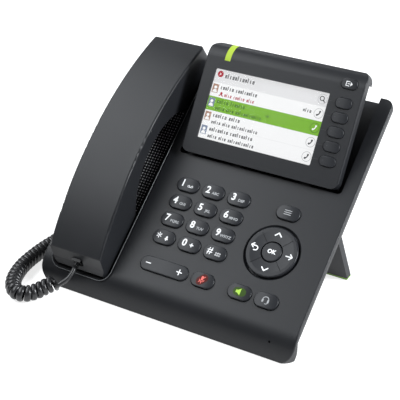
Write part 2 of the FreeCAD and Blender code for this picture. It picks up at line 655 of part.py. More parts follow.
def case_screws():
    """Screws that hold the two halves of the housing together."""
    screws = []
    for x, y in SCREW_PLACES:
        head = drum(x, y, -CASE_DEPTH + 0.1, SCREW_HEAD[1] - CASE_DEPTH, SCREW_HEAD[0])
        shank = drum(x, y, SCREW_HEAD[1] - CASE_DEPTH, BOSS_JOIN + 8, SCREW_RADIUS)
        slot = box(x - 2, x + 2, y - 0.4, y + 0.4, -CASE_DEPTH, 0.9 - CASE_DEPTH)
        screws.append(head.fuse(shank).cut(slot))
    return Part.makeCompound(screws)


def bezel_outline(inset):
    """Side outline of the display's front shell: face, rolled top and open back."""
    radius = DISPLAY_ROLL - inset
    centre = (DISPLAY_HEIGHT - DISPLAY_ROLL, -DISPLAY_ROLL)
    slant = radius / math.sqrt(2)
    start = (inset, -inset)
    steps = [
        (centre[0], -inset),
        ((centre[0] + slant, centre[1] + slant), (centre[0] + radius, centre[1])),
    ]
    return start, steps


def display_bezel():
    """Front shell of the display with its window, key holes and slot for the light bar."""
    start, steps = bezel_outline(0)
    step_up = DISPLAY_HEIGHT - DISPLAY_ROLL + 4
    shell = side_prism(DISPLAY_LEFT, DISPLAY_RIGHT, start,
                       steps + [(step_up, -DISPLAY_ROLL), (step_up, -BEZEL_DEPTH), (0, -BEZEL_DEPTH)])
    rim = [e for e in shell.Edges if e.BoundBox.XLength < 1e-4 and e.BoundBox.ZMax > -1e-4
           and e.BoundBox.YLength > DISPLAY_ROLL - 1]
    shell = shell.makeFillet(DISPLAY_EDGE_ROUND, rim)
    lower, upper = DISPLAY_CORNERS
    shell = shell.common(rounded_block(DISPLAY_LEFT, DISPLAY_RIGHT, 0, DISPLAY_HEIGHT,
                                       DEEP, HIGH, lower, upper))
    start, steps = bezel_outline(DISPLAY_WALL)
    wall = DISPLAY_WALL
    inner = side_prism(DISPLAY_LEFT + wall, DISPLAY_RIGHT - wall, start, steps[:1] + [
        (step_up + 1, -wall - 1.2), (step_up + 6, -8.0), (step_up + 6, 2 - DISPLAY_ROLL),
        (step_up + 2, 2 - DISPLAY_ROLL), (step_up + 2, DEEP), (wall, DEEP)])
    inner = inner.common(rounded_block(DISPLAY_LEFT + wall, DISPLAY_RIGHT - wall, wall,
                                       DISPLAY_HEIGHT - wall, DEEP, HIGH, lower - wall, upper - wall))
    width, height = SCREEN_SIZE
    x, y = SCREEN_MIDDLE
    cuts = [inner, rounded_block(x - width / 2, x + width / 2, y - height / 2, y + height / 2,
                                 -5, 5, 1, 1)]
    for key_x, key_y, key_size in display_keys().values():
        cuts.append(obround(key_x, key_y, key_size[0] + 0.6, key_size[1] + 0.6, -5, 5))
    cuts.append(light_bar_block(0.1))
    return shell.cut(cuts)


def display_keys():
    """Centre and size of each key beside the screen."""
    keys = {}
    for index in range(5):
        keys[f"soft_key_{index + 1}"] = (SOFT_KEY_X, SOFT_KEY_TOP - index * SOFT_KEY_PITCH, SOFT_KEY_SIZE)
    keys["forward_key"] = (*FORWARD_KEY, SOFT_KEY_SIZE)
    return keys


def display_key(x, y, size):
    """Small key beside the screen."""
    flange, thick = SOFT_KEY_FLANGE
    return cap(x, y, *size, SOFT_KEY_PROUD, SOFT_KEY_BOTTOM, SOFT_KEY_BOTTOM + thick, flange)


def light_bar_block(gap):
    """Block of the light bar that follows the face and the rolled top."""
    half = LIGHT_BAR_WIDTH / 2 + gap
    centre = DISPLAY_HEIGHT - DISPLAY_ROLL
    proud = DISPLAY_ROLL + 0.3
    deep = DISPLAY_ROLL - DISPLAY_WALL + 0.1
    bar = rod(LIGHT_BAR_X - half, LIGHT_BAR_X + half, centre, -DISPLAY_ROLL, proud)
    bar = bar.cut(rod(LIGHT_BAR_X - 9, LIGHT_BAR_X + 9, centre, -DISPLAY_ROLL, deep))
    keep = box(LIGHT_BAR_X - 9, LIGHT_BAR_X + 9, LIGHT_BAR_START - gap, DISPLAY_HEIGHT + 1,
               -DISPLAY_ROLL + 5 - gap, 1)
    return bar.common(keep)


def tapered_block(inset, front):
    """Display's rear shell as a block, drawn in by inset, with its rear edges bevelled."""
    bevel = DISPLAY_BEVEL
    low, high = 1.0 + inset, DISPLAY_HEIGHT - DISPLAY_ROLL + 3.8 - inset
    left, right = DISPLAY_LEFT + 1.0 + inset, DISPLAY_RIGHT - 1.0 - inset
    back = inset - DISPLAY_DEPTH
    side = side_prism(left, right, (low, front), [(low, back + bevel), (low + bevel, back),
                                                  (high, back), (high, front)])
    corners = [(left, front), (left, back + bevel), (left + bevel, back), (right - bevel, back),
               (right, back + bevel), (right, front), (left, front)]
    ring = Part.makePolygon([Vector(x, 0, z) for x, z in corners])
    return side.common(Part.Face(ring).extrude(Vector(0, DISPLAY_HEIGHT, 0)))


def display_back():
    """Rear shell of the display with pockets and ears for its hinge."""
    shell = tapered_block(0, -BEZEL_DEPTH).cut(tapered_block(DISPLAY_WALL, 0))
    up, out = DISPLAY_AXIS
    ears, pockets = [], []
    for x in HINGE_LUGS:
        for side in (x - 0.6 - EAR_WIDTH, x + LUG_WIDTH + 0.6):
            ears.append(box(side, side + EAR_WIDTH, up - 5, up + 5, 1 - DISPLAY_DEPTH, out + 3.5))
        pockets.append(box(x - 0.6, x + LUG_WIDTH + 0.6, -1, up + 8, -DISPLAY_DEPTH - 1, -BEZEL_DEPTH + 1))
        pockets.append(rod(x - 9, x + LUG_WIDTH + 9, up, out, PIN_RADIUS + PIN_FIT))
    return shell.fuse(ears).cut(pockets)


def display_hinge_pins():
    """Steel pins of the display's hinge."""
    up, out = DISPLAY_AXIS
    reach = 0.6 + EAR_WIDTH
    return Part.makeCompound([rod(x - reach, x + LUG_WIDTH + reach, up, out, PIN_RADIUS)
                              for x in HINGE_LUGS])


def lcd_panel():
    """Liquid crystal panel behind the window."""
    width, height = SCREEN_SIZE
    x, y = SCREEN_MIDDLE
    half_x, half_y = width / 2 + LCD_BORDER, height / 2 + LCD_BORDER
    return box(x - half_x, x + half_x, y - half_y, y + half_y, LCD_BACK, -DISPLAY_WALL - 0.1)


def screen_window():
    """Clear window set just under the bezel's face."""
    width, height = SCREEN_SIZE
    x, y = SCREEN_MIDDLE
    half_x, half_y = width / 2 - WINDOW_FIT, height / 2 - WINDOW_FIT
    return rounded_block(x - half_x, x + half_x, y - half_y, y + half_y, *WINDOW, 0.9, 0.9)


def display_board():
    """Circuit board of the display."""
    return box(DISPLAY_LEFT + 5, DISPLAY_RIGHT - 4, *DISPLAY_BOARD)


def stand_frame(shape):
    """Take a shape drawn level about the stand's axis to the panel frame."""
    placed = shape.copy()
    placed.rotate(Vector(0, 0, 0), ACROSS, -TILT)
    placed.translate(Vector(0, *STAND_AXIS))
    return placed


def stand_height():
    """Height of the stand's axis above the table."""
    return (STAND_AXIS[0] - LIP[0]) * SIN_TILT + (STAND_AXIS[1] - LIP[1]) * COS_TILT + FOOT_PROUD


def leaning(shape):
    """Lean a leg drawn straight down from the axis back to its stop."""
    leant = shape.copy()
    leant.rotate(Vector(0, 0, 0), ACROSS, STAND_LEAN)
    return leant


def leg_plate():
    """Wide leg with its rounded foot corners, down to the table."""
    height = stand_height()
    half = STAND_THICK / 2
    length = height / math.cos(math.radians(STAND_LEAN)) + 10
    plate = box(-STAND_HALF, STAND_HALF, -half, half, -length, 0)
    plate = leaning(plate.fuse(rod(-STAND_HALF, STAND_HALF, 0, 0, half)).removeSplitter())
    plate = plate.cut(box(-300, 300, -300, 300, -height - 100, -height))
    corners = [e for e in plate.Edges
               if abs(abs(e.CenterOfMass.x) - STAND_HALF) < 1e-4 and e.BoundBox.ZMax < 0.1 - height]
    return plate.makeFillet(1.5, corners)


def strip_room(top):
    """Space under the leg, from below the table to a height above it."""
    return box(-300, 300, -300, 300, -stand_height() - 100, top - stand_height())


def stand_leg():
    """Wide leg plate that hinges under the housing."""
    cuts = [strip_room(STAND_STRIP)]
    for x in STAND_LUGS:
        cuts.append(rod(x - LUG_WIDTH / 2 - 0.5, x + LUG_WIDTH / 2 + 0.5, 0, 0, LUG_RADIUS + LUG_ROOM))
        cuts.append(rod(x - 13, x + 13, 0, 0, PIN_RADIUS + PIN_FIT / 2))
    return stand_frame(leg_plate().cut(cuts))


def stand_strip():
    """Rubber strip under the leg's foot, level with the table."""
    return stand_frame(leg_plate().common(strip_room(STAND_STRIP)))


def stand_pins():
    """Hinge pins of the stand."""
    return stand_frame(Part.makeCompound([rod(x - 12, x + 12, 0, 0, PIN_RADIUS) for x in STAND_LUGS]))


def handset_plan():
    """Upright block with the handset's outline from above."""
    half = HANDSET_WIDTH / 2
    return rounded_block(HANDSET_X - half, HANDSET_X + half, *HANDSET_ENDS, -20, 50,
                         HANDSET_CORNER, HANDSET_CORNER)


def handset_back():
    """Outer shell of the handset."""
    half = HANDSET_WIDTH / 2
    left, right = HANDSET_X - half, HANDSET_X + half
    shell = side_prism(left, right, HANDSET_FRONT_SEAM, [
        ((HANDSET_MIDDLE, HANDSET_PARTING), HANDSET_REAR_SEAM), HANDSET_REAR_TOP,
        ((HANDSET_MIDDLE, HANDSET_TOP), HANDSET_FRONT_TOP)])
    top = [e for e in shell.Edges if e.BoundBox.ZMax > HANDSET_PARTING + 3 and e.BoundBox.YLength > 50]
    ends = [e for e in shell.Edges if e.BoundBox.XLength > HANDSET_WIDTH - 1
            and e.CenterOfMass.z > HANDSET_REAR_TOP[1] - 0.5]
    shell = shell.makeFillet(HANDSET_EDGE, top + ends).common(handset_plan())
    wall = HANDSET_WALL
    hollow = side_prism(left + wall, right - wall, (-60.0, -4.0), [
        (130.0, -4.0), (130.0, HANDSET_REAR_TOP[1] - wall),
        ((HANDSET_MIDDLE, HANDSET_TOP - wall), (-57.0, HANDSET_FRONT_TOP[1] - wall))])
    shell = shell.cut(hollow)
    ceiling = side_prism(left + wall, right - wall, (-60.0, 40.0), [
        (130.0, 40.0), (130.0, HANDSET_REAR_TOP[1] - wall / 2),
        ((HANDSET_MIDDLE, HANDSET_TOP - wall / 2), (-57.0, HANDSET_FRONT_TOP[1] - wall / 2))])
    tall_posts = [drum(HANDSET_X, y, 10.0, 30.0, HANDSET_POST).cut(ceiling) for y in HANDSET_SCREWS]
    shell = shell.fuse(tall_posts)
    cuts = [drum(HANDSET_X, y, -20, HANDSET_SCREW_TOP + 0.5, 1.25) for y in HANDSET_SCREWS]
    cuts += [handset_socket_block(JACK_FIT), plug_opening()]
    return shell.cut(cuts)


def handset_face():
    """Inner shell of the handset with the ear and mouth cups and the finger arch."""
    half = HANDSET_WIDTH / 2
    left, right = HANDSET_X - half, HANDSET_X + half
    rest = HANDSET_REST
    shell = side_prism(left, right, HANDSET_FRONT_SEAM, [
        (-66.0, -0.5), (-64.5, rest), (-18.0, rest), (-11.5, -2.0),
        ((HANDSET_MIDDLE, HANDSET_UNDERSIDE), (85.5, -2.0)),
        (92.0, rest), (127.5, rest), (132.0, -0.5), HANDSET_REAR_SEAM,
        ((HANDSET_MIDDLE, HANDSET_PARTING), HANDSET_FRONT_SEAM)]).common(handset_plan())
    wall = HANDSET_WALL
    hollow = side_prism(left + wall, right - wall, (-60.6, 5.0), [
        (-62.8, -0.5), (-62.0, rest + wall), (-19.0, rest + wall), (-10.5, 1.5),
        ((HANDSET_MIDDLE, HANDSET_UNDERSIDE + wall), (84.5, 1.5)),
        (93.0, rest + wall), (126.0, rest + wall), (129.5, 0.0), (130.5, 8.0),
        ((HANDSET_MIDDLE, HANDSET_PARTING + 3), (-60.6, 8.0))])
    shell = shell.cut(hollow)
    posts = [drum(HANDSET_X, y, rest + 0.5, 9.7, HANDSET_POST) for y in HANDSET_SCREWS]
    shell = shell.fuse(posts)
    cuts = [drum(HANDSET_X, y, -20, 20, 1.5) for y in HANDSET_SCREWS]
    cuts += [drum(HANDSET_X, y, -20, rest + 1.6, 2.7) for y in HANDSET_SCREWS]
    cuts += [handset_socket_block(JACK_FIT), plug_opening()]
    for turn in range(6):
        angle = math.radians(60 * turn)
        cuts.append(drum(HANDSET_X + 5 * math.cos(angle), EARPIECE_Y + 5 * math.sin(angle), -20, 0, 1.0))
    cuts += [drum(HANDSET_X + dx, MICROPHONE_Y, -20, -2, 0.8) for dx in (-3, 0, 3)]
    return shell.cut(cuts)


def handset_socket_block(gap):
    """Outer block of the handset's four-way socket."""
    y, z = CORD_EXIT
    return box(HANDSET_X - 6 - gap, HANDSET_X + 6 + gap, y + 3.6 - gap, y + 15 + gap,
               z - 4.4 - gap, z + 4.4 + gap)


def plug_opening():
    """Opening for the plug in the handset's front end."""
    width, height = SMALL_PLUG
    y, z = CORD_EXIT
    return box(HANDSET_X - width / 2 - 0.5, HANDSET_X + width / 2 + 0.5, y - 6, y + 4,
               z - height / 2 - 0.5, z + height / 2 + 0.5)


def handset_socket():
    """Four-way socket in the handset."""
    width, height = SMALL_PLUG
    y, z = CORD_EXIT
    hollow = box(HANDSET_X - width / 2 - 0.2, HANDSET_X + width / 2 + 0.2, y, y + 13,
                 z - height / 2 - 0.2, z + height / 2 + 0.2)
    return handset_socket_block(0).cut(hollow)


def handset_plug():
    """Modular plug in the handset with the sleeve that the cord leaves by."""
    width, height = SMALL_PLUG
    y, z = CORD_EXIT
    body = box(HANDSET_X - width / 2, HANDSET_X + width / 2, y - 1, y + 11.5,
               z - height / 2, z + height / 2)
    sleeve = Part.makeCylinder(WIRE / 2 + 0.4, SLEEVE, Vector(HANDSET_X, y, z), DOWN_SLOPE)
    return body.fuse(sleeve)


def base_plug():
    """Modular plug in the housing's socket with the sleeve that the cord leaves by."""
    width, height = SMALL_PLUG
    body = box(JACK_PANEL - 2.5, JACK_PANEL + 11.5, HANDSET_JACK_Y - width / 2,
               HANDSET_JACK_Y + width / 2, JACK_Z - height / 2, JACK_Z + height / 2)
    return body.fuse(rod(JACK_PANEL - 2 - SLEEVE, JACK_PANEL, HANDSET_JACK_Y, JACK_Z, WIRE / 2 + 0.4))


def handset_screws():
    """Two screws that close the handset."""
    screws = []
    for y in HANDSET_SCREWS:
        head = drum(HANDSET_X, y, HANDSET_REST + 0.2, HANDSET_REST + 1.6, 2.4)
        screws.append(head.fuse(drum(HANDSET_X, y, HANDSET_REST + 1.6, HANDSET_SCREW_TOP, 1.2)))
    return Part.makeCompound(screws)


def earpiece():
    """Receiver capsule in the ear cup."""
    radius, depth = EARPIECE
    floor = HANDSET_REST + HANDSET_WALL
    return drum(HANDSET_X, EARPIECE_Y, floor, floor + depth, radius)


def microphone():
    """Microphone capsule in the mouth cup."""
    radius, depth = MICROPHONE
    floor = HANDSET_REST + HANDSET_WALL
    return drum(HANDSET_X, MICROPHONE_Y, floor, floor + depth, radius)


def handset_weight():
    """Steel bar that gives the handset its weight."""
    return box(HANDSET_X - 8, HANDSET_X + 8, 15, 59, HANDSET_UNDERSIDE + HANDSET_WALL + 0.1,
               HANDSET_UNDERSIDE + HANDSET_WALL + 4.6)


def table_to_panel(point):
    """Panel-frame point of a cord point given in the table frame."""
    x, back, up = point
    return Vector(x, *level_to_panel(back, up - FOOT_PROUD))


def cord_ends():
    """Ends of the wire at the two sleeves and the points one diameter out, where it may bend."""
    handset_end = Vector(HANDSET_X, *CORD_EXIT) + DOWN_SLOPE * SLEEVE
    base_end = Vector(JACK_PANEL - 2 - SLEEVE, HANDSET_JACK_Y, JACK_Z)
    return handset_end, handset_end + DOWN_SLOPE * WIRE, base_end - ACROSS * WIRE, base_end


def spline(points):
    """Smooth curve that the legs between the points touch at their middles.

    Each entry is a point, its direction, its curvature and its distance from the start.
    """
    inner = [(a + b) * 0.5 for a, b in zip(points[1:-2], points[2:-1])]
    joints = [points[0]] + inner + [points[-1]]
    samples = []
    travelled = 0.0
    for index, control in enumerate(points[1:-1]):
        start, end = joints[index], joints[index + 1]
        for step in range(ROUTE_STEPS + (index == len(points) - 3)):
            t = step / ROUTE_STEPS
            point = start * (1 - t) ** 2 + control * (2 * t * (1 - t)) + end * t ** 2
            speed = (control - start) * (2 * (1 - t)) + (end - control) * (2 * t)
            change = (start - control * 2 + end) * 2
            bend = speed.cross(change).Length / speed.Length ** 3
            if samples:
                travelled += (point - samples[-1][0]).Length
            samples.append((point, speed.normalize(), bend, travelled))
    return samples


def coil_points():
    """Middle of the wire along the coil, as points with their turns and distance so far.

    The first turn sets off downwards at the front. Turns almost touch on the inside of a bend.
    """
    samples = spline([table_to_panel(p) for p in COIL_ROUTE])
    down = Vector(0, -SIN_TILT, -COS_TILT)
    side = samples[0][1].cross(down)
    turns, before, points = 0.0, 0.0, []
    for point, along, bend, travelled in samples:
        side = (side - along * side.dot(along)).normalize()
        pitch = (WIRE + COIL_GAP) / (1 - COIL_RADIUS * bend)
        turns += (travelled - before) / pitch
        before = travelled
        angle = math.radians(COIL_START) + 2 * math.pi * turns
        ring = side * math.cos(angle) + side.cross(along) * math.sin(angle)
        points.append((point + ring * COIL_RADIUS, turns, travelled))
    return points


def wire_points():
    """Middle of the whole wire: lead, coil and tail."""
    _, first, last, _ = cord_ends()
    coil = coil_points()
    enter = (coil[1][0] - coil[0][0]).normalize()
    leave = (coil[-1][0] - coil[-2][0]).normalize()
    lead = [first, first + DOWN_SLOPE * LEAD_REACH, coil[0][0] - enter * LEAD_REACH, coil[0][0]]
    tail = [coil[-1][0], coil[-1][0] + leave * LEAD_REACH]
    tail += [table_to_panel(p) for p in TAIL_ROUTE] + [last - ACROSS * LEAD_REACH, last]
    lead_samples, tail_samples = spline(lead), spline(tail)
    whole = lead_samples[-1][3]
    points = [(point, 0.0, travelled) for point, _, _, travelled in lead_samples[:-1]]
    points += [(point, turns, whole + travelled) for point, turns, travelled in coil]
    _, turns, whole = points[-1]
    points += [(point, turns, whole + travelled) for point, _, _, travelled in tail_samples[1:]]
    return points


def wire_knots(points):
    """Points a quarter turn apart along the coil and a lead step apart along the leads."""
    knots = [0]
    for index, (_, turns, travelled) in enumerate(points):
        _, last_turns, last_travelled = points[knots[-1]]
        if turns - last_turns >= 0.25 or travelled - last_travelled >= LEAD_STEP:
            knots.append(index)
    knots[-1] = len(points) - 1
    return knots


def biarc(start, start_way, end, end_way):
    """Two arcs that leave one point and reach the other in the given directions."""
    span, sum_way = end - start, start_way + end_way
    spread = 2 * (1 - start_way.dot(end_way))
    if spread < 1e-9:
        return [Part.LineSegment(start, end).toShape()]
    ahead = span.dot(sum_way)
    reach = (math.sqrt(ahead ** 2 + spread * span.dot(span)) - ahead) / spread
    joint = (start + start_way * reach + end - end_way * reach) * 0.5
    arcs = []
    for a, corner, b in ((start, start + start_way * reach, joint), (joint, end - end_way * reach, end)):
        weight = (b - a).Length / (2 * reach)
        middle = (a + b + corner * (2 * weight)) * (1 / (2 + 2 * weight))
        arcs.append(Part.Arc(a, middle, b).toShape())
    return arcs


def least_self_gap(points):
    """Least clear distance between one turn of the wire and the next."""
    least = float("inf")
    few = points[::GAP_STRIDE]
    for i, (point, turns, travelled) in enumerate(few):
        for other, other_turns, other_travelled in few[i + 1:]:
            if other_travelled - travelled > 4 * COIL_RADIUS:
                break
            if other_turns - turns > 0.5:
                least = min(least, (other - point).Length)
    return least - WIRE


def curly_cord():
    """Curly handset cord, one unbroken tube from plug to plug."""
    handset_end, _, _, base_end = cord_ends()
    points = wire_points()
    places = [point for point, _, _ in points]
    knots = wire_knots(points)
    edges = [Part.LineSegment(handset_end, places[0]).toShape()]
    ways = []
    for knot in knots:
        low, high = max(knot - 1, 0), min(knot + 1, len(places) - 1)
        ways.append((places[high] - places[low]).normalize())
    ways[0] = (places[0] - handset_end).normalize()
    ways[-1] = (base_end - places[-1]).normalize()
    for i in range(len(knots) - 1):
        edges += biarc(places[knots[i]], ways[i], places[knots[i + 1]], ways[i + 1])
    edges.append(Part.LineSegment(places[-1], base_end).toShape())
    path = Part.Wire(edges)
    tightest = min(e.Curve.Radius for e in edges if hasattr(e.Curve, "Radius"))
    ring = Part.Wire(Part.Circle(handset_end, ways[0], WIRE / 2).toShape())
    tube = path.makePipeShell([ring], True, False)
    full = path.Length * math.pi * WIRE ** 2 / 4
    print(f"cord: {path.Length:.0f} mm of wire, {points[-1][1]:.1f} curls, "
          f"least gap {least_self_gap(points):.2f} mm, tightest arc {tightest:.2f} mm, "
          f"volume over section times length {tube.Volume / full:.4f}")
    return tube


def to_panel(shape):
    """Take a shape from the display's own frame to the panel frame."""
    placed = shape.copy()
    placed.rotate(Vector(0, 0, 0), ACROSS, DISPLAY_TILT)
    placed.translate(Vector(0, *DISPLAY_EDGE))
    return placed


def panel_nodes():
    """Every piece of the phone by name, in the panel frame."""
    nodes = {
        "top_cover": top_cover(),
        "bottom_case": bottom_case(),
        "cradle_tray": cradle_tray(),
        "speaker_grille": speaker_grille(),
        "loudspeaker": loudspeaker(),
        "hook_button": hook_button(),
        "main_board": main_board(),
        "keypad_mat": keypad_mat(),
        "case_screws": case_screws(),
        "front_feet": Part.makeCompound([foot_pad(x, 0) for x in FRONT_FEET]),
        "handset_jack": side_jack(HANDSET_JACK_Y),
        "headset_jack": side_jack(HEADSET_JACK_Y),
    }
    for name, x in NETWORK_JACKS.items():
        nodes[name] = network_jack(x)
    for name, x, y in dial_places():
        nodes[name] = panel_key(x, y)
    nodes["menu_key"] = panel_key(NAV_X, MENU_Y)
    nodes["mute_key"] = panel_key(KEYPAD_X + KEY_PITCH_X, FUNCTION_ROW)
    nodes["speaker_key"] = panel_key(SPEAKER_X, FUNCTION_ROW)
    nodes["headset_key"] = panel_key(HEADSET_X, FUNCTION_ROW)
    nodes["volume_rocker"] = volume_rocker()
    nodes["nav_ring"] = nav_ring()
    nodes["nav_light_guide"] = nav_light_guide()
    nodes["ok_key"] = ok_key()
    display = {
        "display_bezel": display_bezel(),
        "display_back": display_back(),
        "display_hinge_pins": display_hinge_pins(),
        "lcd_panel": lcd_panel(),
        "screen_window": screen_window(),
        "display_board": display_board(),
        "light_bar": light_bar_block(0),
    }
    for name, (x, y, size) in display_keys().items():
        display[name] = display_key(x, y, size)
    for name, shape in display.items():
        nodes[name] = to_panel(shape)
    nodes["stand_leg"] = stand_leg()
    nodes["stand_strip"] = stand_strip()
    nodes["stand_pins"] = stand_pins()
    for make in (handset_back, handset_face, handset_socket, handset_plug, handset_screws,
                 handset_weight, earpiece, microphone, base_plug, curly_cord):
        nodes[make.__name__] = make()
    return nodes


def main():
    """Stand every piece on the table and write it out."""
    os.makedirs("parts", exist_ok=True)
    for name, shape in panel_nodes().items():
        shape.translate(Vector(0, -LIP[0], -LIP[1]))
        shape.rotate(Vector(0, 0, 0), ACROSS, TILT)
        shape.translate(Vector(0, FRONT_TO_MIDDLE, FOOT_PROUD))
        shape.exportStep(f"parts/{name}.step")


if __name__ == "__main__":
    main()
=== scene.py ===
"""Desk IP phone: finishes, legends, screen picture and curly cord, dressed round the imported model."""

import json
import logging
import math
from dataclasses import dataclass, field
from enum import Enum
from typing import Any, Callable, Iterable, Sequence

import bmesh
import bpy
from mathutils import Matrix, Vector


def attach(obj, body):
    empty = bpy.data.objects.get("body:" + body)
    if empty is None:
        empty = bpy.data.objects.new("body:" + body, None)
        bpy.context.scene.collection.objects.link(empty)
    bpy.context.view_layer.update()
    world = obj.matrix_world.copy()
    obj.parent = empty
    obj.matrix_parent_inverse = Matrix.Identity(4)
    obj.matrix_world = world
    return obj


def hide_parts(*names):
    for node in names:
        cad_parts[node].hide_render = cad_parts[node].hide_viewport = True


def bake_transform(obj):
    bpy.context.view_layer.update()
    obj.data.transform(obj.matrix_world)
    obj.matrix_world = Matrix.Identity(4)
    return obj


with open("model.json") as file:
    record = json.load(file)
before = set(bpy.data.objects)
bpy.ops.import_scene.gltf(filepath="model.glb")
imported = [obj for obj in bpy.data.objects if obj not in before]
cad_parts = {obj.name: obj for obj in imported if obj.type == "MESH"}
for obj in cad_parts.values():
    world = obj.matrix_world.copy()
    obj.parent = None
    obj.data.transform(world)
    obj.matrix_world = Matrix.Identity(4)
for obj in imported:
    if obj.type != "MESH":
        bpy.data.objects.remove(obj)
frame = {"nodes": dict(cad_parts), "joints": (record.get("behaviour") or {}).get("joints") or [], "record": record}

LOG = logging.getLogger("desk_phone")
MM = 0.001
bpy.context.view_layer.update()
KEY_CROWN = 42.0 * MM
SCREEN_MARGIN = 3.5
SCREEN_GLOW = 0.88
PRINT_LIFT = 0.02 * MM
ON_PAGE, ON_MARK, ON_DISC = 0.03, 0.06, 0.08
SLOT_OF = {entry["node"]: entry["material_slot"] for entry in frame["record"]["subparts"]}
BODY_OF = {node: body for body, nodes in frame["record"]["behaviour"]["bodies"].items() for node in nodes}
JOINT = {joint["name"]: joint for joint in frame["joints"]}
Colour = tuple[float, float, float]
Point2 = tuple[float, float]
Point3 = tuple[float, float, float]


class Value:
    """A number or colour that changes over a surface. Maths on it adds Math nodes."""

    def __init__(self, tree: bpy.types.NodeTree, socket: bpy.types.NodeSocket) -> None:
        """Wrap one output of a node."""
        self.tree = tree
        self.socket = socket

    def _math(self, operation: str, first: Any, second: Any) -> "Value":
        """Add one Math node.

        Args:
            operation: The node's operation.
            first: Left-hand value or number.
            second: Right-hand value or number.

        Returns:
            The node's result.
        """
        node = self.tree.nodes.new("ShaderNodeMath")
        node.operation = operation
        for slot, value in zip(node.inputs, (first, second)):
            if isinstance(value, Value):
                self.tree.links.new(value.socket, slot)
            else:
                slot.default_value = value
        return Value(self.tree, node.outputs[0])

    def __add__(self, other: Any) -> "Value":
        """Sum."""
        return self._math("ADD", self, other)

    __radd__ = __add__

    def __mul__(self, other: Any) -> "Value":
        """Product."""
        return self._math("MULTIPLY", self, other)

    def __gt__(self, other: Any) -> "Value":
        """One where this value is the greater, else nought."""
        return self._math("GREATER_THAN", self, other)


class NodeWork:
    """A node tree under construction."""

    tree: bpy.types.NodeTree

    def node(self, kind: str, settings: dict[str, Any] | None = None, **sockets: Any) -> bpy.types.Node:
        """Add one node.

        Args:
            kind: The node's type.
            settings: Its own settings, set first.
            sockets: Values or links of its inputs, with spaces in their names as underscores.

        Returns:
            The new node.
        """
        node = self.tree.nodes.new(kind)
        for name, value in (settings or {}).items():
            setattr(node, name, value)
        for name, value in sockets.items():
            self.join(node.inputs[name.replace("_", " ")], value)
        return node

    def join(self, slot: bpy.types.NodeSocket, value: Any) -> None:
        """Set an input to a number or a colour, or link a value or another node's output to it."""
        if isinstance(value, Value):
            value = value.socket
        if isinstance(value, bpy.types.NodeSocket):
            self.tree.links.new(value, slot)
        else:
            slot.default_value = value


class Surface(NodeWork):
    """A material under construction: a Principled shader and the nodes that feed it."""

    def __init__(self, name: str) -> None:
        """Start a material with an empty Principled shader."""
        self.material = bpy.data.materials.new(name)
        self.material.use_nodes = True
        self.tree = self.material.node_tree
        self.tree.nodes.clear()
        self.shader = self.node("ShaderNodeBsdfPrincipled")
        self.node("ShaderNodeOutputMaterial", Surface=self.shader.outputs[0])
        self.place = self.node("ShaderNodeTexCoord").outputs["Object"]

    def noise(self, scale: float, detail: float = 2.0, stretch: Sequence[float] | None = None) -> Value:
        """Noise in the object's own coordinates.

        Args:
            scale: Cells per metre.
            detail: Octaves.
            stretch: Scale along X, Y and Z, where the pattern runs in one direction.

        Returns:
            A value from 0 to 1.
        """
        place = self.place
        if stretch is not None:
            place = self.node("ShaderNodeMapping", Vector=place, Scale=tuple(stretch)).outputs[0]
        node = self.node("ShaderNodeTexNoise", Vector=place, Scale=scale, Detail=detail)
        return Value(self.tree, node.outputs[0])

    def blend(self, factor: Value, low: Colour, high: Colour) -> bpy.types.NodeSocket:
        """Colour between two others, by a factor from 0 to 1."""
        node = self.node("ShaderNodeMix", {"data_type": "RGBA"})
        self.tree.links.new(factor.socket, node.inputs[0])
        node.inputs[6].default_value = (*low, 1.0)
        node.inputs[7].default_value = (*high, 1.0)
        return node.outputs[2]

    def bump(self, height: Value, strength: float, depth: float) -> None:
        """Give the surface relief of that depth in metres."""
        node = self.node("ShaderNodeBump", Strength=strength, Distance=depth, Height=height)
        self.feed("Normal", node.outputs[0])

    def feed(self, name: str, value: Any) -> None:
        """Set or link one input of the Principled shader."""
        self.join(self.shader.inputs[name], value)

    def tint(self, factor: Value, colour: Colour, low: float, high: float) -> None:
        """Vary the base colour between a darker and a lighter shade of one colour.

        Args:
            factor: Pattern from 0 to 1.
            colour: The colour.
            low: Its share where the pattern is 0.
            high: Its share where the pattern is 1.
        """
        self.feed("Base Color", self.blend(factor, shade(colour, low), shade(colour, high)))


def shade(colour: Colour, factor: float) -> Colour:
    """The same colour, lighter or darker."""
    return tuple(min(1.0, channel * factor) for channel in colour)


@dataclass(frozen=True)
class Plastic:
    """Moulded plastic with a fine eroded grain and a slightly uneven gloss."""

    name: str
    colour: Colour
    roughness: float = 0.42
    grain: float = 0.12
    gloss: float = 0.18

    def material(self) -> bpy.types.Material:
        """Build the material."""
        s = Surface(self.name)
        cloud = s.noise(45.0, 3.0)
        fine = s.noise(2600.0, 2.0)
        s.tint(cloud * 0.7 + fine * 0.3, self.colour, 0.86, 1.14)
        s.feed("Roughness", self.roughness - 0.05 + cloud * 0.06 + fine * 0.05)
        s.feed("Specular IOR Level", self.gloss)
        s.bump(fine, self.grain, 0.00006)
        return s.material


@dataclass(frozen=True)
class Rubber:
    """Soft rubber or cable sheath: matt, with fine dust in its pores."""

    name: str
    colour: Colour
    roughness: float = 0.7

    def material(self) -> bpy.types.Material:
        """Build the material."""
        s = Surface(self.name)
        pores = s.noise(1800.0, 3.0)
        dust = s.noise(70.0, 2.0)
        s.tint(dust * 0.5 + pores * 0.5, self.colour, 0.8, 1.25)
        s.feed("Roughness", self.roughness - 0.08 + pores * 0.16)
        s.bump(pores, 0.2, 0.00008)
        return s.material


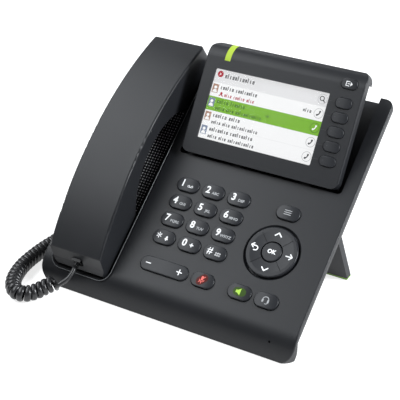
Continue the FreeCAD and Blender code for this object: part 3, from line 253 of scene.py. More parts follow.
@dataclass(frozen=True)
class Metal:
    """Plated or painted metal with fine drawn lines."""

    name: str
    colour: Colour
    roughness: float = 0.3

    def material(self) -> bpy.types.Material:
        """Build the material."""
        s = Surface(self.name)
        lines = s.noise(900.0, 2.0, stretch=(0.08, 1.0, 1.0))
        s.tint(lines, self.colour, 0.85, 1.1)
        s.feed("Metallic", 1.0)
        s.feed("Roughness", self.roughness + lines * 0.15)
        s.bump(lines, 0.1, 0.00003)
        return s.material


@dataclass(frozen=True)
class Lit:
    """Print or lens that glows: a legend, a lamp or a patch of the screen."""

    name: str
    colour: Colour
    glow: float
    body: float = 1.0
    gloss: float = 0.05
    roughness: float = 0.35

    def material(self) -> bpy.types.Material:
        """Build the material."""
        s = Surface(self.name)
        cells = s.noise(1500.0, 1.0)
        s.tint(cells, shade(self.colour, self.body), 0.95, 1.05)
        s.feed("Emission Color", s.blend(cells, shade(self.colour, 0.95), shade(self.colour, 1.05)))
        s.feed("Emission Strength", self.glow)
        s.feed("Roughness", self.roughness - 0.04 + cells * 0.08)
        s.feed("Specular IOR Level", self.gloss)
        return s.material


@dataclass(frozen=True)
class Clear:
    """Clear moulded plastic or window, seen through."""

    name: str
    colour: Colour
    alpha: float
    roughness: float = 0.08

    def material(self) -> bpy.types.Material:
        """Build the material."""
        s = Surface(self.name)
        ripple = s.noise(120.0, 1.0)
        s.tint(ripple, self.colour, 0.96, 1.0)
        s.feed("Roughness", self.roughness + ripple * 0.04)
        s.feed("Alpha", self.alpha)
        s.feed("Specular IOR Level", 0.5)
        return s.material


@dataclass(frozen=True)
class CircuitBoard:
    """Green solder mask with copper runs under it."""

    name: str
    mask: Colour
    copper: Colour

    def material(self) -> bpy.types.Material:
        """Build the material."""
        s = Surface(self.name)
        node = s.node("ShaderNodeTexBrick", Vector=s.place, Scale=260.0, Mortar_Size=0.06)
        runs = Value(s.tree, node.outputs["Fac"])
        s.feed("Base Color", s.blend(runs, self.mask, self.copper))
        s.feed("Roughness", 0.35 + runs * 0.2)
        s.bump(runs, 0.3, 0.00005)
        return s.material


CHARCOAL: Colour = (0.012, 0.0128, 0.0148)
GREEN: Colour = (0.24, 0.52, 0.025)
FINISHES: dict[str, Any] = {
    "housing": Plastic("housing_plastic", CHARCOAL, 0.40, 0.12, 0.26),
    # Cradle: darker and less glossy than the housing, painted shade of the deep shadow beside the handset.
    "cradle": Plastic("cradle_plastic_painted_shade", (0.010, 0.010, 0.011), 0.5, 0.12, 0.1),
    "grille": Plastic("grille_black", (0.005, 0.005, 0.006), 0.6, 0.1, 0.05),
    "speaker": Plastic("speaker_basket", (0.02, 0.02, 0.02), 0.6),
    "board": CircuitBoard("circuit_board", (0.01, 0.09, 0.035), (0.08, 0.22, 0.06)),
    "mat": Rubber("switch_mat", (0.35, 0.35, 0.36)),
    "steel": Metal("plated_steel", (0.55, 0.55, 0.56)),
    "foot_rubber": Rubber("foot_rubber", (0.016, 0.016, 0.017)),
    "strip_rubber": Rubber("strip_rubber", GREEN, 0.5),
    "socket": Plastic("socket_black", (0.012, 0.012, 0.013), 0.4),
    # Plug: near-black in place of a real plug's clear plastic, painted shade of the handset's dark end.
    "plug": Plastic("plug_painted_shade", (0.012, 0.012, 0.013), 0.3, 0.04, 0.16),
    "keys": Plastic("key_plastic", shade(CHARCOAL, 1.4), 0.34, 0.06, 0.22),
    "light_guide": Clear("light_guide", (0.8, 0.82, 0.84), 0.8, 0.3),
    "display": Plastic("display_plastic", shade(CHARCOAL, 1.1), 0.40, 0.12, 0.26),
    "lcd": Lit("screen_white", (0.95, 0.955, 0.96), SCREEN_GLOW, 0.1),
    "window": Clear("window_clear", (0.5, 0.52, 0.54), 0.03, 0.04),
    "light_bar": Lit("lamp_green", (0.45, 0.62, 0.07), 0.5, 0.5),
    "stand": Plastic("stand_plastic", (0.022, 0.023, 0.026), 0.5),
    "handset": Plastic("handset_plastic", CHARCOAL, 0.40, 0.1, 0.26),
    "cord": Rubber("cord_sheath", (0.012, 0.012, 0.013), 0.32),
}


class Ink(Enum):
    """Prints on keys, on the bezel and in the screen's picture."""

    # White and grey prints carry a faint glow: painted light that brightens them.
    WHITE = Lit("print_white", (0.82, 0.83, 0.84), 0.12)
    GREY = Lit("print_grey", (0.36, 0.37, 0.38), 0.04)
    DIM = Lit("print_dim", (0.06, 0.062, 0.066), 0.0)
    RED = Lit("print_red", (0.74, 0.16, 0.14), 0.75, 0.5)
    # Dim glowing red disc under the lit mute sign: painted halo of its light on the key top.
    RED_PAINTED_HALO = Lit("painted_halo_red", (0.075, 0.016, 0.014), 0.6, 0.6)
    LIME = Lit("print_lime", (0.42, 0.70, 0.10), 0.6, 0.5)
    # Dim glowing green disc under the lit speaker sign: painted halo of its light on the key top.
    LIME_PAINTED_HALO = Lit("painted_halo_lime", (0.04, 0.075, 0.018), 0.6, 0.6)
    BLACK = Lit("print_black", (0.006, 0.006, 0.007), 0.0)
    HEADER = Lit("screen_header", (0.80, 0.80, 0.81), SCREEN_GLOW, 0.1)
    ROW = Lit("screen_row", (0.20, 0.475, 0.018), SCREEN_GLOW, 0.06)
    ROW_DARK = Lit("screen_row_dark", (0.045, 0.15, 0.01), SCREEN_GLOW, 0.06)
    TYPE = Lit("screen_type", (0.02, 0.02, 0.023), SCREEN_GLOW, 0.06)
    TYPE_SOFT = Lit("screen_type_soft", (0.05, 0.05, 0.054), SCREEN_GLOW, 0.06)
    TYPE_RED = Lit("screen_type_red", (0.42, 0.012, 0.03), SCREEN_GLOW, 0.1)
    RULE = Lit("screen_rule", (0.70, 0.70, 0.71), SCREEN_GLOW, 0.1)
    RING = Lit("screen_ring", (0.45, 0.45, 0.46), SCREEN_GLOW, 0.1)
    PAPER = Lit("screen_paper", (0.95, 0.955, 0.96), SCREEN_GLOW, 0.1)
    TILE_WARM = Lit("tile_warm", (0.42, 0.24, 0.17), SCREEN_GLOW, 0.1)
    TILE_COOL = Lit("tile_cool", (0.20, 0.25, 0.36), SCREEN_GLOW, 0.1)


class Paints:
    """Materials, each made once and kept by name."""

    made: dict[str, bpy.types.Material] = {}

    @classmethod
    def get(cls, finish: Any) -> bpy.types.Material:
        """Material of a finish or an ink."""
        finish = finish.value if isinstance(finish, Ink) else finish
        if finish.name not in cls.made:
            cls.made[finish.name] = finish.material()
        return cls.made[finish.name]


@dataclass(frozen=True)
class Face:
    """A working plane of the phone through the origin: its across, up and out directions."""

    out: Vector
    across: Vector = field(default_factory=lambda: Vector((1, 0, 0)))

    @property
    def up(self) -> Vector:
        """Direction up the face."""
        return self.out.cross(self.across)

    def point(self, x: float, y: float, z: float) -> Vector:
        """Row-frame point of a point on the face."""
        return self.across * x + self.up * y + self.out * z

    def matrix(self, x: float, y: float, z: float) -> Matrix:
        """Transform from the face's directions about a point to the row frame."""
        turned = Matrix((self.across, self.up, self.out)).transposed().to_4x4()
        return Matrix.Translation(self.point(x, y, z)) @ turned

    def span(self, node: str) -> tuple[Vector, Vector]:
        """Lowest and highest corners of a node along the face's directions."""
        axes = (self.across, self.up, self.out)
        rows = [[v.co.dot(a) for a in axes] for v in frame["nodes"][node].data.vertices]
        return Vector(map(min, zip(*rows))), Vector(map(max, zip(*rows)))


PANEL = Face(Vector(JOINT["handset_lift"]["axis"]))
SCREEN = Face(-Vector(JOINT["soft_key_1_press"]["axis"]))


def show(name: str, data: bpy.types.ID) -> bpy.types.Object:
    """Put a new object with this data into the scene."""
    item = bpy.data.objects.new(name, data)
    bpy.context.scene.collection.objects.link(item)
    return item


def aimed(item: bpy.types.Object, place: Point3, aim: Point3) -> None:
    """Put a lamp or a camera at a place, looking at a point."""
    item.location = place
    item.rotation_euler = (Vector(aim) - Vector(place)).to_track_quat("-Z", "Y").to_euler()


def curve_through(name: str, kind: str, points: Sequence[Vector]) -> bpy.types.Curve:
    """Curve of one spline.

    Args:
        name: Its name.
        kind: Kind of spline.
        points: Its control points.

    Returns:
        The new curve.
    """
    curve = bpy.data.curves.new(name, "CURVE")
    curve.dimensions = "3D"
    line = curve.splines.new(kind)
    line.points.add(len(points) - 1)
    for knot, point in zip(line.points, points):
        knot.co = (*point, 1.0)
    return curve


def add_piece(name: str, mesh: bpy.types.Mesh, body: str, finish: Any = None) -> bpy.types.Object:
    """Put a finished mesh into the scene.

    Args:
        name: The piece's name.
        mesh: Its mesh, in the row frame.
        body: The body that it rides on.
        finish: Finish or ink, where the mesh has no material yet.

    Returns:
        The new object.
    """
    piece = show(name, mesh)
    if finish is not None:
        mesh.materials.clear()
        mesh.materials.append(Paints.get(finish))
    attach(piece, body)
    LOG.info("%s on %s: %d faces", name, body, len(mesh.polygons))
    return piece


def plain_mesh(source: bpy.types.Object, name: str) -> bpy.types.Mesh:
    """Plain mesh of an object with its modifiers or curve settings applied; the object is removed."""
    bpy.context.view_layer.update()
    graph = bpy.context.evaluated_depsgraph_get()
    mesh = bpy.data.meshes.new_from_object(source.evaluated_get(graph), depsgraph=graph)
    mesh.name = name
    data = source.data
    bpy.data.objects.remove(source)
    if isinstance(data, bpy.types.Curve):
        bpy.data.curves.remove(data)
    return mesh


@dataclass
class Print:
    """Thin raised print that follows a face of the phone."""

    name: str
    face: Face
    centre: Vector
    relief: Callable[[float, float], float] = lambda x, y: 0.0
    thick: float = 0.05 * MM
    stroke_step: float = 0.9
    shapes: dict[Ink, bmesh.types.BMesh] = field(default_factory=dict)

    def sheet(self, ink: Ink) -> bmesh.types.BMesh:
        """Mesh that collects the shapes of one ink."""
        if ink not in self.shapes:
            self.shapes[ink] = bmesh.new()
        return self.shapes[ink]

    def outline(self, ink: Ink, points: Sequence[Point2], lift: float = 0.0) -> None:
        """Add a filled outline.

        Args:
            ink: Its colour.
            points: Corners in millimetres about the centre, anticlockwise.
            lift: Extra height, where one print lies on another.
        """
        mesh = self.sheet(ink)
        low = [mesh.verts.new((x * MM, y * MM, lift * MM)) for x, y in points]
        high = [mesh.verts.new((x * MM, y * MM, lift * MM + self.thick)) for x, y in points]
        mesh.faces.new(list(reversed(low)))
        mesh.faces.new(high)
        for i in range(len(points)):
            j = (i + 1) % len(points)
            mesh.faces.new((low[i], low[j], high[j], high[i]))

    def bar(self, ink: Ink, x0: float, y0: float, x1: float, y1: float, lift: float = 0.0) -> None:
        """Add a filled rectangle."""
        self.outline(ink, [(x0, y0), (x1, y0), (x1, y1), (x0, y1)], lift)

    def disc(self, ink: Ink, x: float, y: float, radius: float, lift: float = 0.0, sides: int = 20) -> None:
        """Add a filled circle."""
        turns = [2 * math.pi * i / sides for i in range(sides)]
        self.outline(ink, [(x + radius * math.cos(t), y + radius * math.sin(t)) for t in turns], lift)

    def line(self, ink: Ink, points: Sequence[Point2], width: float, lift: float = 0.0) -> None:
        """Add a stroke with round ends and corners."""
        half = width / 2
        for (ax, ay), (bx, by) in zip(points, points[1:]):
            length = math.hypot(bx - ax, by - ay)
            nx, ny = -(by - ay) / length * half, (bx - ax) / length * half
            steps = math.ceil(length / self.stroke_step)
            cuts = [(ax + (bx - ax) * i / steps, ay + (by - ay) * i / steps) for i in range(steps + 1)]
            near = [(x - nx, y - ny) for x, y in cuts]
            far = [(x + nx, y + ny) for x, y in reversed(cuts)]
            self.outline(ink, near + far, lift)
        for x, y in points:
            self.disc(ink, x, y, half, lift, 10)

    def ring(self, ink: Ink, x: float, y: float, radius: float, width: float, lift: float = 0.0,
             start: float = 0.0, sweep: float = 360.0) -> None:
        """Add a circular stroke, or part of one, in degrees."""
        steps = max(6, int(sweep / 15))
        turns = [math.radians(start + sweep * i / steps) for i in range(steps + 1)]
        self.line(ink, [(x + radius * math.cos(t), y + radius * math.sin(t)) for t in turns], width, lift)

    def words(self, ink: Ink, text: str, x: float, y: float, size: float, bold: float = 0.0) -> None:
        """Add generic lettering.

        Args:
            ink: Its colour.
            text: Digits or letters.
            x: Middle, in millimetres from the centre.
            y: Middle, in millimetres from the centre.
            size: Height of the type in millimetres.
            bold: Extra width of the strokes in millimetres.
        """
        curve = bpy.data.curves.new("type", "FONT")
        curve.body = text
        curve.size = size * MM * 1.4
        curve.align_x, curve.align_y = "CENTER", "CENTER"
        curve.offset = bold * MM
        curve.extrude = self.thick / 2
        curve.resolution_u = 3
        mesh = plain_mesh(show("type", curve), "type")
        mesh.transform(Matrix.Translation((x * MM, y * MM, self.thick / 2)))
        self.sheet(ink).from_mesh(mesh)
        bpy.data.meshes.remove(mesh)

    def finish(self, body: str, slot: str) -> list[bpy.types.Object]:
        """Lay the print on its face.

        Args:
            body: The body that it rides on.
            slot: The record's slot that it belongs to; not used.

        Returns:
            One piece for each ink.
        """
        pieces = []
        for ink, work in self.shapes.items():
            for vertex in work.verts:
                x, y, z = vertex.co
                vertex.co = (x, y, z + self.relief(x, y))
            bmesh.ops.recalc_face_normals(work, faces=work.faces)
            mesh = bpy.data.meshes.new(f"{self.name}_{ink.name.lower()}")
            work.to_mesh(mesh)
            work.free()
            mesh.transform(self.face.matrix(*self.centre))
            pieces.append(add_piece(mesh.name, mesh, body, ink))
        return pieces


def key_print(node: str, face: Face, ending: str, crown: float = KEY_CROWN) -> Print:
    """Start the print on the crowned top of one key.

    Args:
        node: The key.
        face: The face that it is set in.
        ending: What the names of the pieces add to the key's name.
        crown: Radius of its top.

    Returns:
        The empty print.
    """
    low, high = face.span(node)
    middle = (low + high) / 2
    top = Vector((middle.x, middle.y, high.z + PRINT_LIFT))
    return Print(node + ending, face, top, lambda x, y: math.sqrt(crown ** 2 - x ** 2) - crown)


class Shells:
    """The moulded pieces: each CAD node takes the finish of its slot."""

    def dress(self) -> None:
        """Give every node the finish of its slot."""
        for node, piece in frame["nodes"].items():
            finish = Paints.get(FINISHES[SLOT_OF[node]])
            if not piece.material_slots:
                piece.data.materials.append(finish)
            for place in piece.material_slots:
                place.material = finish
            LOG.info("%s takes %s", node, finish.name)


@dataclass
class Keys:
    """Legends of the dial keys and of the function keys."""

    legends: tuple[tuple[str, str], ...] = (
        ("1", ""), ("2", "ABC"), ("3", "DEF"), ("4", "GHI"), ("5", "JKL"), ("6", "MNO"), ("7", "PQRS"),
        ("8", "TUV"), ("9", "WXYZ"), ("*", ""), ("0", "+"), ("#", ""),
    )
    spelt: dict[str, str] = field(default_factory=lambda: {"*": "star", "#": "hash"})

    def dial(self) -> None:
        """Print digits and letters on the dial keys."""
        for digit, letters in self.legends:
            node = "dial_key_" + self.spelt.get(digit, digit)
            mark = key_print(node, PANEL, "_legend")
            size = 7.4 if digit == "*" else 5.5
            drop = -1.6 if digit == "*" else 0.4
            weight = 0.05 if digit in "*#" else 0.2
            mark.words(Ink.WHITE, digit, -3.7, drop, size, weight)
            if letters == "+":
                mark.words(Ink.WHITE, letters, 2.6, -0.5, 4.2, 0.14)
            elif letters:
                mark.words(Ink.GREY, letters, 3.0, -1.3, 2.1, 0.08)
            if digit == "1":
                mark.ring(Ink.WHITE, 1.6, -1.2, 0.75, 0.35)
                mark.ring(Ink.WHITE, 4.2, -1.2, 0.75, 0.35)
                mark.line(Ink.WHITE, [(1.6, -1.95), (4.2, -1.95)], 0.35)
            if digit == "*":
                mark.outline(Ink.WHITE, [(1.4, -1.8), (4.6, -1.8), (3.8, -0.8), (3.6, 0.6), (3.0, 1.3),
                                         (2.4, 0.6), (2.2, -0.8)])
                mark.disc(Ink.WHITE, 3.0, -2.2, 0.45)
            if digit == "#":
                for column in range(3):
                    for row in range(2):
                        mark.ring(Ink.WHITE, 1.7 + 1.5 * column, -0.2 - 1.6 * row, 0.45, 0.3)
            mark.finish(BODY_OF[node], "keys")

    def functions(self) -> None:
        """Print the signs of the menu, mute, speaker, headset and volume keys."""
        menu = key_print("menu_key", PANEL, "_legend")
        for row in (-1.6, 0.0, 1.6):
            menu.line(Ink.GREY, [(-2.6, row), (2.6, row)], 0.55)
        menu.finish("menu_key", "keys")
        mute = key_print("mute_key", PANEL, "_legend")
        # Painted halo of the red sign's light on the key top.
        mute.line(Ink.RED_PAINTED_HALO, [(-1.2, -1.4), (0.0, 0.0), (1.2, 1.4)], 6.4, -0.03)
        mute.outline(Ink.RED, [(-0.9, -0.6), (0.9, -0.6), (0.9, 2.6), (-0.9, 2.6)])
        mute.ring(Ink.RED, 0, 0.2, 1.9, 0.45, 0, 190, 160)
        mute.line(Ink.RED, [(0, -1.7), (0, -2.9)], 0.5)
        mute.line(Ink.RED, [(-2.0, -2.2), (2.0, 2.6)], 0.5, 0.02)
        mute.finish("mute_key", "keys")
        speaker = key_print("speaker_key", PANEL, "_legend")
        # Painted halo of the green sign's light on the key top.
        speaker.line(Ink.LIME_PAINTED_HALO, [(-1.4, 0.0), (2.4, 0.0)], 6.4, -0.03)
        speaker.outline(Ink.LIME, [(-2.3, -1.0), (-1.0, -1.0), (1.3, -2.6), (1.3, 2.6), (-1.0, 1.0),
                                   (-2.3, 1.0)])
        speaker.finish("speaker_key", "keys")
        headset = key_print("headset_key", PANEL, "_legend")
        headset.ring(Ink.GREY, 0, 0.2, 2.3, 0.6, 0, 0, 180)
        for side in (-1, 1):
            headset.bar(Ink.GREY, side * 2.1 - 0.65, -1.8, side * 2.1 + 0.65, 0.4)
        headset.line(Ink.GREY, [(2.1, -1.8), (1.4, -2.7), (0.2, -2.8)], 0.45)
        headset.finish("headset_key", "keys")
        volume = key_print("volume_rocker", PANEL, "_legend", 4 * KEY_CROWN)
        for side in (-13.2, 13.2):
            volume.line(Ink.WHITE, [(side - 2.0, 0), (side + 2.0, 0)], 0.75)
        volume.line(Ink.WHITE, [(13.2, -2.0), (13.2, 2.0)], 0.75)
        volume.finish("volume", "keys")


@dataclass
class NavigationKey:
    """Arrows, dividing lines and OK on the four-way key."""

    dish: float = 150.0 * MM
    dip: float = 0.9 * MM
    arrow_at: float = 14.0

    def build(self) -> None:
        """Print the ring and the middle key."""
        low, high = PANEL.span("nav_ring")
        middle = (low + high) / 2
        base = Vector((middle.x, middle.y, high.z - self.dip + PRINT_LIFT))
        rim = high.z - base.z + PRINT_LIFT

        def dished(x: float, y: float) -> float:
            """Height of the dished ring over its lowest point."""
            return min(rim, self.dish - math.sqrt(self.dish ** 2 - x * x - y * y))

        ring = Print("nav_legend", PANEL, base, dished)
        far = self.arrow_at
        for side in (1, -1):
            foot, tip = side * (far - 1.2), side * (far + 1.2)
            ring.line(Ink.WHITE, [(-2.4, foot), (0, tip), (2.4, foot)], 0.95)
        ring.line(Ink.WHITE, [(far - 2.6, 0), (far + 2.4, 0)], 0.85)
        ring.line(Ink.WHITE, [(far + 0.4, 2.0), (far + 2.4, 0), (far + 0.4, -2.0)], 0.85)
        ring.line(Ink.WHITE, [(-far + 0.4, -2.2), (-far + 1.2, -2.2)], 0.85)
        ring.ring(Ink.WHITE, -far + 1.2, -0.5, 1.7, 0.85, 0, -90, 180)
        ring.line(Ink.WHITE, [(-far - 2.4, 1.2), (-far + 1.2, 1.2)], 0.85)
        ring.line(Ink.WHITE, [(-far - 0.6, 2.9), (-far - 2.4, 1.2), (-far - 0.6, -0.5)], 0.85)
        for turn in range(4):
            angle = math.radians(45 + 90 * turn)
            reach = [(r * math.cos(angle), r * math.sin(angle)) for r in (8.6, 11.0, 14.0, 17.2)]
            ring.line(Ink.BLACK, reach, 0.36)
        ring.finish("nav", "keys")
        low, high = PANEL.span("ok_key")
        top = Vector((middle.x, middle.y, high.z + PRINT_LIFT))
        ok = Print("ok_legend", PANEL, top)
        ok.words(Ink.WHITE, "OK", 0, 0, 3.1, 0.16)
        ok.finish("ok_key", "keys")


class Letter(Enum):
    """Letter-like marks of the screen's lines."""

    ARCH = 0
    ROUND = 1
    OPEN = 2
    STEM = 3


@dataclass
class ScreenPicture:
    """Generic list picture on the screen: a header, rows of text-like bars and round icons."""

    margin: float = SCREEN_MARGIN
    rows: int = 5
    selected: int = 2

    def build(self) -> None:
        """Lay the picture on the liquid crystal panel, under the window."""
        low, high = SCREEN.span("lcd_panel")
        middle = (low + high) / 2
        half_x = (high.x - low.x) / 2 / MM - self.margin
        half_y = (high.y - low.y) / 2 / MM - self.margin
        page = Print("screen", SCREEN, Vector((middle.x, middle.y, high.z + 0.01 * MM)), thick=0.02 * MM)
        key_low, key_high = SCREEN.span("soft_key_1")
        next_low, _ = SCREEN.span("soft_key_2")
        pitch = (key_low.y - next_low.y) / MM
        first = ((key_low + key_high).y / 2 - middle.y) / MM
        page.bar(Ink.HEADER, -half_x, first - pitch / 2, half_x, half_y)
        page.disc(Ink.TYPE_RED, -half_x + 4.4, first + 1.4, 2.5, ON_PAGE)
        page.disc(Ink.PAPER, -half_x + 4.4, first + 1.4, 0.6, ON_MARK)
        self.bars(page, Ink.TYPE_SOFT, -half_x + 8.8, first + 0.8, [25.5], 3.9)
        page.ring(Ink.RING, half_x - 5.0, first, 3.6, 0.3, ON_PAGE)
        page.ring(Ink.TYPE, half_x - 5.4, first + 0.4, 1.6, 0.6, ON_MARK)
        page.line(Ink.TYPE, [(half_x - 4.3, first - 0.7), (half_x - 3.0, first - 2.0)], 0.7, ON_MARK)
        for row in range(1, self.rows):
            self.row(page, row, first - row * pitch, pitch, half_x, max(-half_y, first - (row + 0.5) * pitch))
        page.finish("display", "lcd")

    @staticmethod
    def bars(page: Print, ink: Ink, x: float, y: float, lengths: Iterable[float], height: float) -> None:
        """Print a line of word-like marks, whose letters are stems joined by short bars.

        Args:
            page: The picture.
            ink: Ink of the line.
            x: Start of the line.
            y: Middle of the line.
            lengths: Lengths of its words.
            height: Height of its tall letters.
        """
        stroke, foot = height * 0.17, y - height * 0.45
        low_top = foot + height * 0.64
        for length in lengths:
            letters = max(2, round(length / height / 0.55))
            step = length / letters
            for index in range(letters):
                left, right = x + index * step, x + (index + 0.72) * step
                shape = Letter((index * 3 + letters) % len(Letter))
                tall_top = foot + height * 0.95 if shape is Letter.STEM else low_top
                page.bar(ink, left, foot, left + stroke, tall_top, ON_PAGE)
                if shape is Letter.STEM:
                    continue
                if shape is not Letter.OPEN:
                    page.bar(ink, right - stroke, foot, right, low_top, ON_PAGE)
                page.bar(ink, left + stroke, low_top - stroke, right - stroke, low_top, ON_PAGE)
                if shape is not Letter.ARCH:
                    page.bar(ink, left + stroke, foot, right - stroke, foot + stroke, ON_PAGE)
            x += length + height * 0.5

    def row(self, page: Print, row: int, y: float, pitch: float, half_x: float, bottom: float) -> None:
        """Print one row of the list.

        Args:
            page: The picture.
            row: Number of the row under the header.
            y: Middle of the row beside its soft key.
            pitch: Height of a row.
            half_x: Half the picture's width.
            bottom: Lower edge of the row.
        """
        chosen = row == self.selected
        top = y + pitch / 2
        if chosen:
            page.bar(Ink.ROW, -half_x, bottom, half_x, top)
        else:
            page.bar(Ink.RULE, -half_x + 9.0, bottom - 0.06, half_x, bottom + 0.06)
        tile = Ink.TILE_WARM if row % 2 else Ink.TILE_COOL
        left = -half_x + 0.8
        page.bar(tile, left, top - 8.0, left + 5.0, top - 1.2, ON_PAGE)
        page.disc(Ink.PAPER, left + 2.5, top - 3.7, 1.2, ON_MARK)
        bust = ((0.5, 7.6), (4.5, 7.6), (3.9, 5.8), (3.1, 5.2), (1.9, 5.2), (1.1, 5.8))
        page.outline(Ink.PAPER, [(left + across, top - down) for across, down in bust], ON_MARK)
        names = ([11.5, 18.0], [10.0, 12.5], [12.0, 9.5], [16.5, 19.0])[row - 1]
        seconds = ([6.5, 9.5, 6.5], [8.0, 6.5, 22.0], [8.0, 6.5, 22.0], [8.0, 6.5, 22.0])[row - 1]
        self.bars(page, Ink.ROW_DARK if chosen else Ink.TYPE, left + 7.0, top - 2.9, names, 3.4)
        second = Ink.TYPE_RED if row == 1 else Ink.ROW_DARK if chosen else Ink.TYPE_SOFT
        shift = 4.5 if row == 1 else 0.0
        self.bars(page, second, left + 7.0 + shift, top - 8.2, seconds, 3.1)
        if row == 1:
            page.disc(second, left + 8.6, top - 7.4, 1.0, ON_PAGE)
            arms = [(left + 7.2, top - 9.4), (left + 8.6, top - 8.2), (left + 10.0, top - 9.4)]
            page.line(second, arms, 0.8, ON_PAGE)
            self.bars(page, Ink.TYPE_SOFT, half_x - 17.5, y + 0.4, [7.0], 3.0)
        if chosen:
            page.line(Ink.ROW_DARK, [(2.0, y), (5.0, y)], 0.6, ON_PAGE)
            page.line(Ink.ROW_DARK, [(3.8, y + 1.2), (5.0, y), (3.8, y - 1.2)], 0.6, ON_PAGE)
        icon = half_x - 5.0
        page.disc(Ink.ROW if chosen else Ink.PAPER, icon, y, 3.5, ON_PAGE)
        page.ring(Ink.ROW_DARK if chosen else Ink.RING, icon, y, 3.6, 0.35, ON_MARK)
        glyph = Ink.PAPER if chosen else Ink.TYPE
        page.line(glyph, [(half_x - 6.1, y - 1.5), (half_x - 5.1, y - 0.9), (half_x - 4.4, y + 0.3),
                          (half_x - 4.2, y + 1.6)], 0.8, ON_DISC)
        page.disc(glyph, half_x - 6.0, y - 1.3, 0.75, ON_DISC)
        page.disc(glyph, half_x - 4.2, y + 1.4, 0.75, ON_DISC)


@dataclass
class BezelMarks:
    """Tick lines beside the soft keys, the small lamps in them and the sign on the forward key."""

    tick: float = 0.32
    lamp: Point2 = (-3.4, 0.2)
    lamp_radius: float = 0.5
    stroke: float = 0.5

    def build(self) -> None:
        """Print the marks on the display."""
        _, face_top = SCREEN.span("display_bezel")
        _, lcd_high = SCREEN.span("lcd_panel")
        edge = lcd_high.x / MM - SCREEN_MARGIN
        marks = Print("bezel_marks", SCREEN, Vector((0, 0, face_top.z + 0.01 * MM)))
        for number in range(1, 6):
            node = f"soft_key_{number}"
            low, high = SCREEN.span(node)
            y = (low.y + high.y) / 2 / MM
            marks.line(Ink.DIM, [(edge + 0.9, y), (low.x / MM + 0.2, y)], self.tick)
            lens = key_print(node, SCREEN, "_sign")
            lens.disc(Ink.DIM, *self.lamp, self.lamp_radius)
            lens.finish(node, "keys")
        marks.finish("display", "display")
        sign = key_print("forward_key", SCREEN, "_sign")
        sign.line(Ink.WHITE, [(0.2, 1.6), (-2.2, 1.6), (-2.2, -1.6), (0.2, -1.6)], self.stroke)
        sign.line(Ink.WHITE, [(-1.0, 0), (2.4, 0)], self.stroke)
        sign.line(Ink.WHITE, [(1.2, 1.1), (2.4, 0), (1.2, -1.1)], self.stroke)
        sign.finish("forward_key", "keys")


@dataclass
class CradleHighlightBead:
    """Fine light-grey bead along the rim of the handset's cradle: a painted highlight along the rim's edge."""

    inset: float = 0.25 * MM
    radius: float = 0.28 * MM
    corner: float = 10.0 * MM
    roll_start: float = -58.0 * MM
    roll_radius: float = 25.0 * MM
    corner_steps: int = 8
    roll_steps: int = 6

    def height(self, origin: Vector, y: float) -> float:
        """Height of the panel, or of its roll to the front, at a place up the slope."""
        past = max(0.0, self.roll_start - (y - origin.y))
        return origin.z - self.roll_radius + math.sqrt(self.roll_radius ** 2 - past ** 2)

    def build(self) -> None:
        """Run the bead down the right side of the cradle and round its front."""
        low, high = PANEL.span("cradle_tray")
        top = PANEL.span("top_cover")[1].z
        origin = Vector((0.0, (PANEL.span("dial_key_2")[0].y + PANEL.span("dial_key_0")[1].y) / 2, top))
        left, right = low.x + self.inset, high.x - self.inset
        front = low.y + self.inset
        path = [(right, high.y), (right, origin.y + self.roll_start)]
        for side, centre_x in ((1, right - self.corner), (-1, left + self.corner)):
            turns = range(self.corner_steps + 1)
            angles = [math.pi / 2 * i / self.corner_steps for i in turns]
            for angle in angles if side == 1 else reversed(angles):
                path.append((centre_x + side * self.corner * math.cos(angle),
                             front + self.corner * (1 - math.sin(angle))))
        path += [(left, origin.y + self.roll_start), (left, high.y)]
        points = [PANEL.point(x, y, self.height(origin, y)) for x, y in path]
        curve = curve_through("cradle_highlight_bead", "POLY", points)
        curve.bevel_depth = self.radius
        curve.bevel_resolution = 1
        curve.use_fill_caps = True
        mesh = plain_mesh(show("cradle_highlight_bead", curve), "cradle_highlight_bead")
        # Light-grey plastic: painted highlight along the cradle's rim.
        finish = Plastic("painted_highlight_plastic", (0.12, 0.125, 0.13), 0.35)
        add_piece("cradle_highlight_bead", mesh, "base", finish)


class Tree(NodeWork):
    """A Geometry Nodes tree with a named input for each of its sizes."""

    kinds = {int: "NodeSocketInt", float: "NodeSocketFloat", bpy.types.Material: "NodeSocketMaterial"}

    def __init__(self, name: str, values: dict[str, Any]) -> None:
        """Start a tree.

        Args:
            name: Its name.
            values: Value of each named input.
        """
        self.tree = bpy.data.node_groups.new(name, "GeometryNodeTree")
        self.values = values
        self.sockets = {}
        for label, value in values.items():
            kind = self.kinds[type(value)]
            self.sockets[label] = self.tree.interface.new_socket(label, in_out="INPUT", socket_type=kind)
        self.tree.interface.new_socket("Geometry", in_out="OUTPUT", socket_type="NodeSocketGeometry")
        self.entry = self.node("NodeGroupInput")
        self.exit = self.node("NodeGroupOutput")

    def size(self, label: str) -> bpy.types.NodeSocket:
        """Output of one named input."""
        return self.entry.outputs[label]

    def close(self, points: bpy.types.NodeSocket, shape: bpy.types.NodeSocket) -> None:
        """Repeat a shape on points, make it real and give it its finish."""
        spread = self.node("GeometryNodeInstanceOnPoints", Points=points, Instance=shape)
        real = self.node("GeometryNodeRealizeInstances", Geometry=spread.outputs[0])
        painted = self.node("GeometryNodeSetMaterial", Geometry=real.outputs[0], Material=self.size("Finish"))
        self.tree.links.new(painted.outputs[0], self.exit.inputs[0])

    def mesh(self, name: str, **changed: Any) -> bpy.types.Mesh:
        """Plain mesh of the tree with its inputs set.

        Args:
            name: Name of the mesh.
            changed: Inputs that differ from the tree's own values.

        Returns:
            The mesh, about the origin.
        """
        holder = show(name, bpy.data.meshes.new(name))
        modifier = holder.modifiers.new("pattern", "NODES")
        modifier.node_group = self.tree
        for label, value in {**self.values, **changed}.items():
            modifier[self.sockets[label].identifier] = value
        return plain_mesh(holder, name)


